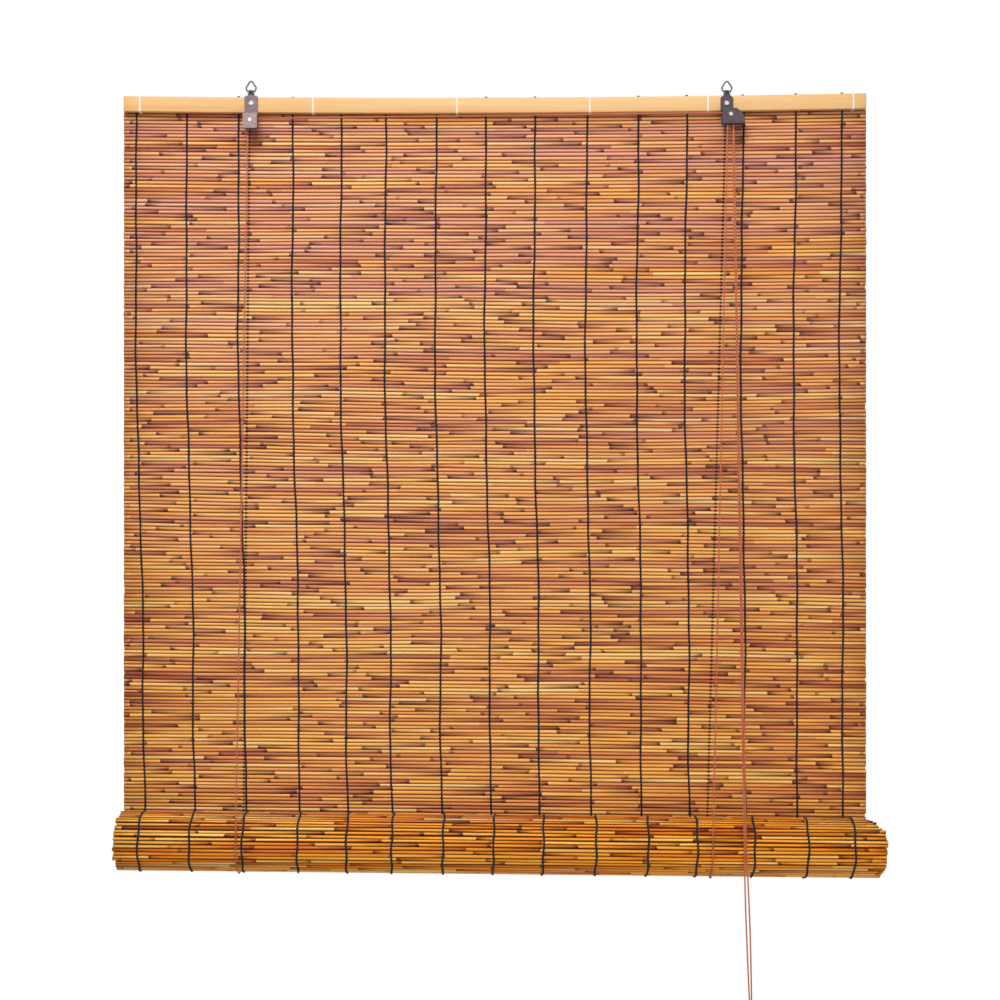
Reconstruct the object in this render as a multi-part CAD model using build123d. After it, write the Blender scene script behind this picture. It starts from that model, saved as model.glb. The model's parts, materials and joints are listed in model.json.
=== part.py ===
from build123d import *
from math import asin, atan2, ceil, cos, degrees, hypot, pi, radians, sin, tan
import os

# A reed roll-up blind, hung by two rings and half rolled up, in millimetres.
# Front is -Y, up is +Z. The origin lies midway between the seats of the two rings.

# Reed mat
mat_width = 1000.0
mat_rows = 208  # rows between the top edge and the roll
rows_behind_rail = 4
reed_pitch = 4.78
reed_depth = 4.4  # front to back
groove_depth = 1.3  # from a reed's crest to the line where two reeds meet
crest_share = 0.4  # flat crest of a reed, of its pitch
reed_gap = 0.38  # slit between two reeds
rows_per_gap = 3
gap_margin = 12.0  # wall left beside the slits at the edges of the mat

# Twine that binds the reeds in columns
twine_width = 2.2
twine_thickness = 0.8
twine_clearance = 0.1
twine_column_shares = (
    -0.483, -0.415, -0.345, -0.272, -0.207, -0.147, -0.079, -0.012,
    0.054, 0.124, 0.193, 0.258, 0.334, 0.405, 0.467,
)
twine_lean_left = 13.0  # how far the first column drifts sideways on its way down
twine_lean_right = 1.5
twine_stop = 14.0  # front of a column ends this far above the middle of the roll
knot_height = 3.4
knot_length = 3.6

# Roll at the foot of the mat
roll_radius = 40.0
roll_spread = 12.0  # how much longer than the mat is wide, as the reeds slide out of line
roll_shift = 7.4  # wound a little to the right
roll_tilt = 0.6  # degrees, right end lower
turn_gap = 0.4
mat_end_gap = 0.3
bar_least_radius = 4.0  # the bar fills the core that the last turn leaves
bar_clearance = 0.3
bar_inset = 4.0
loop_sides = 6  # flats on each half turn of the roll's twine
loop_start_angle = 6.0
loop_stop_angle = 320.0

# Headrail and the threads that lash the mat to it
rail_inset = 2.5  # rail end to the edge of the mat
rail_height = 20.5
rail_depth = 10.0
rail_drop = 19.0  # ring seat to rail top
rail_edge = 0.8
tie_width = 2.8
tie_thickness = 0.7
tie_clearance = 0.1
tie_shares = (-0.478, -0.245, -0.051, 0.128, 0.287, 0.483)

# Rings and the brackets that they hang in
sheet = 1.2  # bracket metal
bracket_rise = 1.0  # bracket plate above the rail top
plate_corner = 3.0
ring_wire = 2.0
ring_drop = 12.6  # ring seat to the middle of its foot
ring_foot_half = 4.9
ring_foot_round = 1.4
ring_shoulder_half = 6.9
ring_shoulder_rise = 5.0  # above the foot
ring_shoulder_round = 2.0
ring_top_round = 2.4
ring_play = 0.2
curl_wall = 0.9
curl_width = 6.4
neck_width = 9.2
left_inset = 171.0  # rail end to the middle of the bracket
left_plate_width = 18.2
left_cheek_width = 19.2
left_cheek_drop = 25.1  # rail top to the top of the pulley cheek
left_cheek_height = 20.0
right_inset = 187.0
right_plate_width = 17.0
right_cheek_drop = 18.6
right_cheek_height = 20.0
cheek_reach = 16.2  # middle of the plate to the front of the cheek
cheek_corner = 2.4

# Screws and pulley pins
screw_drop = 9.0  # rail top to the screw
screw_head_radius = 3.3
screw_head_height = 1.6
screw_radius = 1.6
screw_length = 8.0
screw_slot = 0.9
screw_slot_depth = 0.7
fit = 0.1
pin_radius = 1.5
pin_head_radius = 2.7
pin_head_height = 1.2
left_pin_drop = 9.1  # cheek top to the pin
right_pin_drop = 7.9
right_pin_offset = 3.7  # right of the bracket's middle

# Cords, pulleys and the lock
cord_radius = 1.0
cord_clearance = 0.2
cord_joint = 0.2  # gap between a moving run and the next piece of cord
pulley_pitch_radius = 3.7
pulley_radius = 5.2
pulley_bore_play = 0.15
pulley_side_play = 0.4
groove_play = 0.18
groove_flare = 0.45
groove_offset = 3.2  # from the middle of the double pulley to each of its grooves
single_pulley_width = 6.4
lock_edge_offset = 8.1  # pin to where the lock's slope starts
lock_reach = 16.8  # pin to where the slope ends
lock_slope_drop = 8.0
lock_side = 18.6  # pin to the right side of the lock
lock_side_drop = 16.1
casing_left = 11.4  # pin to the left edge of the lock
roller_radius = 3.0
roller_drop = 4.0  # pin to the roller
roller_pinch = 0.15
roller_play = 0.3
roller_edge = 0.5
lip_offset = 6.2  # pin to the tip of the lip under the roller

# How far the cords drift sideways from the middle of their brackets
left_sling_drift = 12.0  # to the left
right_sling_drift = 25.7
pull_a_drift = 15.0  # to the right: the two pull strands in front of the roll
pull_b_drift = 17.9
pull_a_foot_drift = 22.4  # where they enter the knot
pull_b_foot_drift = 24.7
pull_drop = 1226.0  # ring seats to the top of the knot
pull_front_gap = 0.8
knot_radius = 5.2
knot_barrel = 15.0
knot_round = 3.0
tail_length = 26.0
tail_spread = 3.4

# Staples that hold the back ends of the cords
staple_wire = 1.2
staple_span = 5.2
staple_leg = 6.0  # depth in the rail
staple_drop = 14.5  # rail top to the staples

overrun = 5.0  # how far cutters pass the faces that they cut

# Lengths, levels and depths that follow from the sizes above
rail_length = mat_width - 2 * rail_inset
roll_length = mat_width + roll_spread
left_x = left_inset - rail_length / 2
right_x = rail_length / 2 - right_inset
left_sling_x = left_x - left_sling_drift
right_sling_x = right_x - right_sling_drift
pull_a_x = right_x + pull_a_drift
pull_b_x = right_x + pull_b_drift
pull_a_foot_x = right_x + pull_a_foot_drift
pull_b_foot_x = right_x + pull_b_foot_drift
rail_front = sheet / 2
rail_back = rail_front + rail_depth
rail_top = -rail_drop
rail_bottom = rail_top - rail_height
mat_front = rail_back + twine_thickness + 2 * twine_clearance
mat_middle = mat_front + reed_depth / 2
mat_back = mat_front + reed_depth
tie_run = rail_bottom - tie_clearance - tie_thickness / 2
mat_top = tie_run + rows_behind_rail * reed_pitch
mat_foot = mat_top - mat_rows * reed_pitch
roll_y = mat_back - roll_radius
roll_z = mat_foot
turn_pitch = reed_depth + turn_gap
ring_foot = -ring_drop
plate_top = rail_top + bracket_rise
left_cheek_top = rail_top - left_cheek_drop
right_cheek_top = rail_top - right_cheek_drop
left_pin = (left_x, left_cheek_top - left_pin_drop)
right_pin = (right_x + right_pin_offset, right_cheek_top - right_pin_drop)
cheek_front = -cheek_reach
cheek_back = cheek_front + sheet
plate_front = -sheet / 2
bay_middle = (cheek_back + plate_front) / 2
rear_groove = bay_middle + groove_offset
front_groove = bay_middle - groove_offset
sling_radius = roll_radius + 2 * twine_clearance + twine_thickness + cord_clearance + cord_radius
back_run_y = roll_y + sling_radius
pull_y = roll_y - roll_radius - pull_front_gap - cord_radius
staple_z = rail_top - staple_drop
staple_crown = back_run_y + cord_radius + cord_clearance
slope_angle = atan2(lock_slope_drop, lock_reach - lock_edge_offset)
roller_x = right_pin[0] + pulley_pitch_radius + cord_radius + roller_pinch + roller_radius
roller_z = right_pin[1] - roller_drop


def roll_middle(x):
    """Height of the tilted roll's axis at a place across the blind."""
    return roll_z - (x - roll_shift) * tan(radians(roll_tilt))


def column_lean(share):
    """Sideways drift of a twine column at the foot of the mat."""
    first, last = twine_column_shares[0], twine_column_shares[-1]
    return twine_lean_left + (twine_lean_right - twine_lean_left) * (share - first) / (last - first)


def slab(outline, back, thickness):
    """Plate with an outline in X and Z, from its back face forward."""
    return Pos(0, back, 0) * extrude(Plane.XZ * outline, amount=thickness)


def across(outline, width):
    """Bar of constant section in Y and Z, middled on X."""
    return extrude(Plane.YZ * outline, amount=width / 2, both=True)


def rod(start, end, radius):
    """Straight round rod between two points."""
    line = Line(start, end)
    return sweep(Plane(origin=line @ 0, z_dir=line % 0) * Circle(radius), path=line)


def along_y(x, z, front, back, radius):
    """Round bar that points front to back."""
    return rod((x, back, z), (x, front, z), radius)


def block(x0, x1, y0, y1, z0, z1):
    """Box between two corners."""
    middle = Pos((x0 + x1) / 2, (y0 + y1) / 2, (z0 + z1) / 2)
    return middle * Box(x1 - x0, y1 - y0, z1 - z0)


def staple_places():
    """Where the back ends of the two cords are stapled."""
    return (left_pin[0] - pulley_pitch_radius, right_pin[0] - pulley_pitch_radius)


def staple_leg_boxes(margin):
    """The legs of both staples, grown by a margin for their holes."""
    half = staple_wire / 2 + margin
    tip = rail_back - staple_leg - margin
    low, high = staple_z - half, staple_z + half
    boxes = []
    for x in staple_places():
        for leg in (x - staple_span / 2, x + staple_span / 2):
            boxes.append(block(leg - half, leg + half, tip, staple_crown, low, high))
    return boxes


def tie_places():
    return [share * rail_length for share in tie_shares]


def make_headrail():
    rail = block(-rail_length / 2, rail_length / 2, rail_front, rail_back, rail_bottom, rail_top)
    rail = fillet(rail.edges().filter_by(Axis.X), rail_edge)
    tip = rail_front + screw_length + fit
    for x in (left_x, right_x):
        rail -= along_y(x, rail_top - screw_drop, rail_front - overrun, tip, screw_radius + fit)
    return rail - staple_leg_boxes(fit)


def reed_outline(rows):
    """Section of the mat: a flat-crested ridge for each reed, front and back."""
    crest = crest_share * reed_pitch / 2
    front, back = [], []
    for row in range(rows):
        edge = mat_top - row * reed_pitch
        middle = edge - reed_pitch / 2
        front += [(mat_front + groove_depth, edge), (mat_front, middle + crest), (mat_front, middle - crest)]
        back += [(mat_back - groove_depth, edge), (mat_back, middle + crest), (mat_back, middle - crest)]
    foot = mat_top - rows * reed_pitch
    front.append((mat_front + groove_depth, foot))
    back.append((mat_back - groove_depth, foot))
    return make_face(Polyline(*front, *reversed(back), close=True))


def make_reed_mat():
    spare = ceil(tan(radians(roll_tilt)) * mat_width / reed_pitch)
    mat = across(reed_outline(mat_rows + spare), mat_width)
    below = (spare + 1) * reed_pitch * 2
    trim = Box(2 * mat_width, reed_depth + 2 * overrun, below)
    place = Pos(roll_shift, mat_middle, roll_z) * Rot(Y=roll_tilt)
    cutters = [place * Pos(0, 0, mat_end_gap - below / 2) * trim]
    slit = Box(mat_width - 2 * gap_margin, reed_depth + 2 * overrun, reed_gap)
    for row in range(rows_behind_rail + 1, mat_rows - 1, rows_per_gap):
        cutters.append(Pos(0, mat_middle, mat_top - row * reed_pitch) * slit)
    passage = Box(tie_width + 2 * fit, reed_depth + 2 * overrun, tie_thickness + 2 * fit)
    cutters += [Pos(x, mat_middle, tie_run) * passage for x in tie_places()]
    return mat - cutters - staple_leg_boxes(fit)


def make_warp_twines():
    """Each column runs down the front, over the top edge and down the back."""
    inner_front = mat_front - twine_clearance
    inner_back = mat_back + twine_clearance
    bridge = mat_top + twine_clearance
    columns = []
    for share in twine_column_shares:
        x = share * mat_width
        lean = column_lean(share)
        length = mat_top - mat_foot
        front_end = roll_middle(x + lean) + twine_stop
        back_end = roll_middle(x + lean) + mat_end_gap + twine_width
        outline = Polyline(
            (inner_front - twine_thickness, front_end),
            (inner_front - twine_thickness, bridge + twine_thickness),
            (inner_back + twine_thickness, bridge + twine_thickness),
            (inner_back + twine_thickness, back_end),
            (inner_back, back_end),
            (inner_back, bridge),
            (inner_front, bridge),
            (inner_front, front_end),
            close=True,
        )
        column = Pos(0, 0, -mat_top) * across(make_face(outline), twine_width)
        columns.append(Pos(x, 0, mat_top) * Rot(Y=-degrees(atan2(lean, length))) * column)
    return columns


def make_twine_knots():
    """The tied ends of the twine stand just above the rail's top edge."""
    seat = mat_top + 2 * twine_clearance + twine_thickness
    bead = across(RegularPolygon(knot_height / 2, 6, major_radius=False), knot_length)
    middle = seat + knot_height / 2
    return [Pos(share * mat_width, mat_middle, middle) * bead for share in twine_column_shares]


def half_turns():
    """Centre offset and outer radius of each half turn, from the lip inwards, down the back first."""
    smallest = bar_least_radius + bar_clearance + reed_depth + turn_pitch / 2
    halves = []
    radius = roll_radius
    while radius > smallest:
        offset = 0 if len(halves) % 2 == 0 else -turn_pitch / 2
        halves.append((offset, radius))
        radius -= turn_pitch / 2
    return halves


def half_start(index):
    return 0 if index % 2 == 0 else 180


def ridge_points(offset, radius, start):
    """One half turn of reeds as flat-crested ridges, clockwise from its start angle."""
    count = round(pi * radius / reed_pitch)
    step = 180 / count
    flank = step * (1 - crest_share) / 2
    points = []
    for reed in range(count):
        turned = reed * step
        for distance, angle in (
            (radius - groove_depth, turned),
            (radius, turned + flank),
            (radius, turned + step - flank),
        ):
            bearing = radians(start - angle)
            points.append((offset + distance * cos(bearing), distance * sin(bearing)))
    return points


def roll_place():
    return Pos(roll_shift, roll_y, roll_z) * Rot(Y=roll_tilt)


def make_reed_roll():
    """One long strip wound in half circles, with the reeds of its outermost turn standing out."""
    halves = half_turns()
    outer = []
    for index in (0, 1):
        outer += ridge_points(*halves[index], half_start(index))
    offset, radius = halves[2]
    outer.append((offset + radius, 0))
    inner_lip = (halves[0][1] - reed_depth, 0)
    edges = [Polyline(*outer)]
    for index, (offset, radius) in enumerate(halves):
        if index > 1:
            edges.append(CenterArc((offset, 0), radius, half_start(index), -180))
        edges.append(CenterArc((offset, 0), radius - reed_depth, half_start(index), -180))
    last_offset, last_radius = halves[-1]
    side = -1 if len(halves) % 2 else 1
    end_outer = (last_offset + side * last_radius, 0)
    end_inner = (last_offset + side * (last_radius - reed_depth), 0)
    edges.append(Line(outer[0], inner_lip))
    edges.append(Line(end_outer, end_inner))
    return roll_place() * across(make_face(edges), roll_length)


def loop_points(clearance, halves):
    """Flats that lie round the outermost turn at a clearance from its crests."""
    step = 180 / loop_sides
    points = []
    turned = loop_start_angle
    while turned <= loop_stop_angle:
        offset, radius = halves[0] if turned <= 180 else halves[1]
        reach = (radius + clearance) / cos(radians(step / 2))
        bearing = radians(-turned)
        points.append((offset + reach * cos(bearing), reach * sin(bearing)))
        turned += step
    return points


def make_roll_twines():
    halves = half_turns()
    inner = loop_points(twine_clearance, halves)
    outer = loop_points(twine_clearance + twine_thickness, halves)
    loop = across(make_face(Polyline(*inner, *reversed(outer), close=True)), twine_width)
    loops = []
    for share in twine_column_shares:
        x = share * mat_width + column_lean(share) - roll_shift
        loops.append(roll_place() * Pos(x, 0, 0) * loop)
    return loops


def make_bottom_bar():
    offset, radius = half_turns()[-1]
    bar = across(Circle(radius - reed_depth - bar_clearance), roll_length - 2 * bar_inset)
    return roll_place() * Pos(0, offset, 0) * bar


def make_headrail_ties():
    outer_front = rail_front - tie_clearance - tie_thickness
    outer_back = mat_back + twine_thickness + 2 * twine_clearance + tie_thickness
    outer_top = rail_top + tie_clearance + tie_thickness
    outer_bottom = rail_bottom - tie_clearance - tie_thickness
    ties = []
    for x in tie_places():
        left, right = x - tie_width / 2, x + tie_width / 2
        loop = block(left, right, outer_front, outer_back, outer_bottom, outer_top)
        hole = block(
            left - overrun,
            right + overrun,
            outer_front + tie_thickness,
            outer_back - tie_thickness,
            outer_bottom + tie_thickness,
            outer_top - tie_thickness,
        )
        ties.append(loop - hole)
    return ties


def make_ring(x):
    """Kite-shaped ring of wire: its short straight foot turns in the bracket's curl."""
    shoulder = ring_foot + ring_shoulder_rise
    top_middle = ring_wire / 2 - ring_top_round
    height = top_middle - shoulder
    reach = hypot(ring_shoulder_half, height)
    half_angle = atan2(ring_shoulder_half, height) - asin(ring_top_round / reach)
    peak = shoulder + ring_shoulder_half / tan(half_angle)
    face = make_face(
        Polyline(
            (-ring_foot_half, ring_foot),
            (ring_foot_half, ring_foot),
            (ring_shoulder_half, shoulder),
            (0, peak),
            (-ring_shoulder_half, shoulder),
            close=True,
        )
    )
    sides = face.vertices().sort_by(Axis.X)
    face = fillet([sides[0], sides[-1]], ring_shoulder_round)
    face = fillet(face.vertices().sort_by(Axis.Y)[-1], ring_top_round)
    face = fillet(face.vertices().sort_by(Axis.Y)[:2], ring_foot_round)
    path = (Pos(x, 0, 0) * Plane.XZ * face).face().outer_wire()
    return sweep(Plane(origin=path @ 0, z_dir=path % 0) * Circle(ring_wire / 2), path=path)


def make_ring_curl(x):
    """Tab on top of a bracket, rolled round the foot of its ring."""
    bore = ring_wire / 2 + ring_play
    outer = bore + curl_wall
    shoulder = ring_foot - outer
    tab = block(x - neck_width / 2, x + neck_width / 2, -sheet / 2, sheet / 2, plate_top - overrun, shoulder)
    stem = block(x - curl_width / 2, x + curl_width / 2, -sheet / 2, sheet / 2, shoulder, ring_foot)
    curl = Pos(x, 0, ring_foot) * across(Circle(outer), curl_width)
    return tab + stem + curl, Pos(x, 0, ring_foot) * across(Circle(bore), curl_width + overrun)


def make_left_bracket():
    """Plate on the rail, a shelf folded forward under it and a front cheek for the pulley pin."""
    foot = left_cheek_top - left_cheek_height
    plate = Pos(left_x, (plate_top + foot) / 2) * RectangleRounded(
        left_plate_width, plate_top - foot, plate_corner
    )
    left, right = left_x - left_plate_width / 2, left_x + left_plate_width / 2
    cheek = Rectangle(left_cheek_width, left_cheek_height)
    cheek = fillet(cheek.vertices().sort_by(Axis.Y)[:2], cheek_corner)
    cheek = Pos(left_x, left_cheek_top - left_cheek_height / 2) * cheek
    shelf = block(left, right, cheek_front, sheet / 2, left_cheek_top - sheet, left_cheek_top)
    tab, bore = make_ring_curl(left_x)
    bracket = slab(plate, sheet / 2, sheet) + slab(cheek, cheek_back, sheet) + shelf + tab - bore
    bracket -= along_y(left_x, rail_top - screw_drop, plate_front - overrun, rail_front, screw_radius + fit)
    return bracket - along_y(*left_pin, cheek_front - overrun, overrun, pin_radius + fit)


def lock_outline():
    """Front of the cord lock: square on the left, sloping away on the right."""
    x, top = right_pin[0], right_cheek_top
    foot = top - right_cheek_height
    return make_face(
        Polyline(
            (x - casing_left, top),
            (x + lock_edge_offset, top),
            (x + lock_reach, top - lock_slope_drop),
            (x + lock_side, top - lock_side_drop),
            (x + lock_side, foot),
            (x - casing_left, foot),
            close=True,
        )
    )


def lock_hollow():
    """Space inside the lock: open to the left and below, with a ramp for the roller on the right."""
    left = right_pin[0] - casing_left - overrun
    top = right_cheek_top - sheet
    side = right_pin[0] + lock_side - sheet
    foot = right_cheek_top - right_cheek_height
    reach = roller_radius + roller_play
    ramp_x = roller_x + reach * sin(slope_angle)
    ramp_z = roller_z + reach * cos(slope_angle)
    fall = tan(slope_angle)
    lip = right_pin[0] + lip_offset
    return make_face(
        Polyline(
            (left, top),
            (ramp_x - (top - ramp_z) / fall, top),
            (side, ramp_z - (side - ramp_x) * fall),
            (side, foot + sheet),
            (lip, foot + sheet),
            (lip, foot - overrun),
            (left, foot - overrun),
            close=True,
        )
    )


def make_right_bracket():
    """Cord lock: the plate on the rail carries a casing with a pulley and a sloping roller bay."""
    foot = right_cheek_top - sheet
    plate = Pos(right_x, (plate_top + foot) / 2) * Rectangle(right_plate_width, plate_top - foot)
    plate = chamfer(plate.vertices().sort_by(Axis.Y)[-2:], plate_corner)
    casing = slab(lock_outline(), sheet / 2, cheek_reach + sheet / 2)
    casing -= slab(lock_hollow(), plate_front, plate_front - cheek_back)
    tab, bore = make_ring_curl(right_x)
    bracket = casing + slab(plate, sheet / 2, sheet) + tab - bore
    bracket -= along_y(right_x, rail_top - screw_drop, plate_front - overrun, rail_front, screw_radius + fit)
    return bracket - along_y(*right_pin, cheek_front - overrun, overrun, pin_radius + fit)


def make_screw(x):
    z = rail_top - screw_drop
    head_front = plate_front - screw_head_height
    head = along_y(x, z, head_front, plate_front, screw_head_radius)
    head = chamfer(head.edges().group_by(Axis.Y)[0], screw_head_height / 2)
    slot = block(
        x - screw_head_radius - overrun,
        x + screw_head_radius + overrun,
        head_front - overrun,
        head_front + screw_slot_depth,
        z - screw_slot / 2,
        z + screw_slot / 2,
    )
    return head - slot + along_y(x, z, plate_front, rail_front + screw_length, screw_radius)


def make_pin(place):
    """Rivet through both cheeks, with a low domed head in front."""
    x, z = place
    head = along_y(x, z, cheek_front - pin_head_height, cheek_front, pin_head_radius)
    head = chamfer(head.edges().group_by(Axis.Y)[0], pin_head_height / 2)
    return head + along_y(x, z, cheek_front, sheet / 2, pin_radius)


def make_pulley(place, width, grooves):
    """Wheel on a pin with a cord groove at each of the given depths."""
    x, z = place
    middle = (min(grooves) + max(grooves)) / 2
    wheel = along_y(x, z, middle - width / 2, middle + width / 2, pulley_radius)
    floor = pulley_pitch_radius - cord_radius - groove_play
    half = cord_radius + groove_play
    mouth = half + groove_flare
    for depth in grooves:
        section = Polyline(
            (floor, depth - half),
            (pulley_pitch_radius, depth - half),
            (pulley_radius + overrun, depth - mouth),
            (pulley_radius + overrun, depth + mouth),
            (pulley_pitch_radius, depth + half),
            (floor, depth + half),
            close=True,
        )
        wheel -= Pos(x, 0, z) * revolve(make_face(section), axis=Axis.Y)
    return wheel - along_y(x, z, cheek_front, sheet, pin_radius + pulley_bore_play)


def make_lock_roller():
    front = cheek_back + pulley_side_play
    back = plate_front - pulley_side_play
    roller = along_y(roller_x, roller_z, front, back, roller_radius)
    return chamfer(roller.edges().filter_by(GeomType.CIRCLE), roller_edge)


def tube(path):
    """Cord along a path."""
    return sweep(Plane(origin=path @ 0, z_dir=path % 0) * Circle(cord_radius), path=path)


def make_pulley_cords():
    """The cross run from pulley to pulley, and the right lift cord's turn over the lock pulley."""
    run = degrees(atan2(right_pin[1] - left_pin[1], right_pin[0] - left_pin[0]))
    rise = CenterArc(left_pin, pulley_pitch_radius, 180, run - 90)
    fall = CenterArc(right_pin, pulley_pitch_radius, 90 + run, -90 - run)
    cross = Wire([*rise.edges(), *Line(rise @ 1, fall @ 0).edges(), *fall.edges()])
    over = Wire(CenterArc(right_pin, pulley_pitch_radius, 180, -180).edges())
    return [
        tube(Pos(0, rear_groove, 0) * Plane.XZ.location * cross),
        tube(Pos(0, front_groove, 0) * Plane.XZ.location * over),
    ]


def lift_lines(pin, groove, sling_x):
    """Ends of a lift cord's front run, from its pulley to where it meets the roll."""
    top = (pin[0] - pulley_pitch_radius, groove, pin[1] - cord_joint)
    middle = roll_middle(sling_x)
    distance = hypot(groove - roll_y, top[2] - middle)
    lean = asin(sling_radius / distance) + atan2(groove - roll_y, top[2] - middle)
    return top, (sling_x, roll_y - sling_radius * cos(lean), middle + sling_radius * sin(lean)), lean


def make_lift_front(pin, groove, sling_x):
    top, meet, lean = lift_lines(pin, groove, sling_x)
    end = Vector(*meet) + (Vector(*top) - Vector(*meet)).normalized() * cord_joint
    return rod(top, end, cord_radius)


def make_sling(pin, groove, sling_x):
    """The cord's turn under the roll, from the front run to the back run."""
    top, meet, lean = lift_lines(pin, groove, sling_x)
    arc = CenterArc((roll_y, roll_middle(sling_x)), sling_radius, 0, -180 - degrees(lean))
    return tube(Wire((Pos(sling_x, 0, 0) * Plane.YZ.location * arc).edges()))


def make_lift_back(sling_x, staple_x):
    foot = (sling_x, back_run_y, roll_middle(sling_x) + cord_joint)
    return rod(foot, (staple_x, back_run_y, staple_z + 2 * staple_wire), cord_radius)


def make_cord_staples():
    """Two wire staples over the cord ends, driven through the mat into the rail."""
    legs = staple_leg_boxes(0)
    half = staple_span / 2 + staple_wire / 2
    low, high = staple_z - staple_wire / 2, staple_z + staple_wire / 2
    staples = []
    for index, x in enumerate(staple_places()):
        crown = block(x - half, x + half, staple_crown, staple_crown + staple_wire, low, high)
        staples.append(crown + legs[2 * index] + legs[2 * index + 1])
    return staples


def pull_strands():
    """Top, bend and foot of each pull strand."""
    side = right_pin[0] + pulley_pitch_radius
    return (
        ((side, rear_groove, right_pin[1]), (pull_a_x, pull_y, roll_middle(pull_a_x)), pull_a_foot_x),
        ((side, front_groove, right_pin[1]), (pull_b_x, pull_y, roll_middle(pull_b_x)), pull_b_foot_x),
    )


def make_pull_cords_upper():
    """Both pull strands from the lock down to the front of the roll."""
    strands = []
    for top, bend, foot_x in pull_strands():
        step = (Vector(*bend) - Vector(*top)).normalized() * cord_joint
        strands.append(rod(Vector(*top) + step, Vector(*bend) - step, cord_radius))
    return strands


def make_pull_cords_lower():
    """Both pull strands from the front of the roll to the knot."""
    strands = []
    for top, bend, foot_x in pull_strands():
        strands.append(rod(bend, (foot_x, pull_y, -pull_drop), cord_radius))
    return strands


def make_pull_knot():
    """The strands end in one knot with two short tails."""
    x = (pull_a_foot_x + pull_b_foot_x) / 2
    barrel = Pos(x, pull_y, -pull_drop - cord_joint - knot_barrel / 2) * Cylinder(knot_radius, knot_barrel)
    barrel = fillet(barrel.edges().filter_by(GeomType.CIRCLE), knot_round)
    start = -pull_drop - knot_barrel + knot_round
    end = -pull_drop - knot_barrel - tail_length
    for side in (-1, 1):
        barrel += rod(
            (x + side * cord_radius, pull_y, start), (x + side * tail_spread, pull_y, end), cord_radius
        )
    return barrel


def make_parts():
    left_run = (left_pin, rear_groove, left_sling_x)
    right_run = (right_pin, front_groove, right_sling_x)
    left_staple, right_staple = staple_places()
    bay = plate_front - cheek_back - 2 * pulley_side_play
    return {
        "headrail": make_headrail(),
        "headrail_ties": make_headrail_ties(),
        "reed_mat": make_reed_mat(),
        "warp_twines": make_warp_twines(),
        "twine_knots": make_twine_knots(),
        "reed_roll": make_reed_roll(),
        "roll_twines": make_roll_twines(),
        "bottom_bar": make_bottom_bar(),
        "left_bracket": make_left_bracket(),
        "right_bracket": make_right_bracket(),
        "left_ring": make_ring(left_x),
        "right_ring": make_ring(right_x),
        "left_bracket_screw": make_screw(left_x),
        "right_bracket_screw": make_screw(right_x),
        "left_pulley": make_pulley(left_pin, single_pulley_width, [rear_groove]),
        "left_pulley_pin": make_pin(left_pin),
        "right_pulley": make_pulley(right_pin, bay, [rear_groove, front_groove]),
        "right_pulley_pin": make_pin(right_pin),
        "lock_roller": make_lock_roller(),
        "pulley_cords": make_pulley_cords(),
        "left_lift_front": make_lift_front(*left_run),
        "right_lift_front": make_lift_front(*right_run),
        "left_sling": make_sling(*left_run),
        "right_sling": make_sling(*right_run),
        "left_lift_back": make_lift_back(left_sling_x, left_staple),
        "right_lift_back": make_lift_back(right_sling_x, right_staple),
        "cord_staples": make_cord_staples(),
        "pull_cords_upper": make_pull_cords_upper(),
        "pull_cords_lower": make_pull_cords_lower(),
        "pull_knot": make_pull_knot(),
    }


def as_shape(piece):
    """A group of solids as one compound, a single piece as it is."""
    if isinstance(piece, list):
        return Compound(children=[solid for item in piece for solid in item.solids()])
    return piece


def main():
    os.makedirs("parts", exist_ok=True)
    for name, piece in make_parts().items():
        export_step(as_shape(piece), f"parts/{name}.step")


main()
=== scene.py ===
import json

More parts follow.
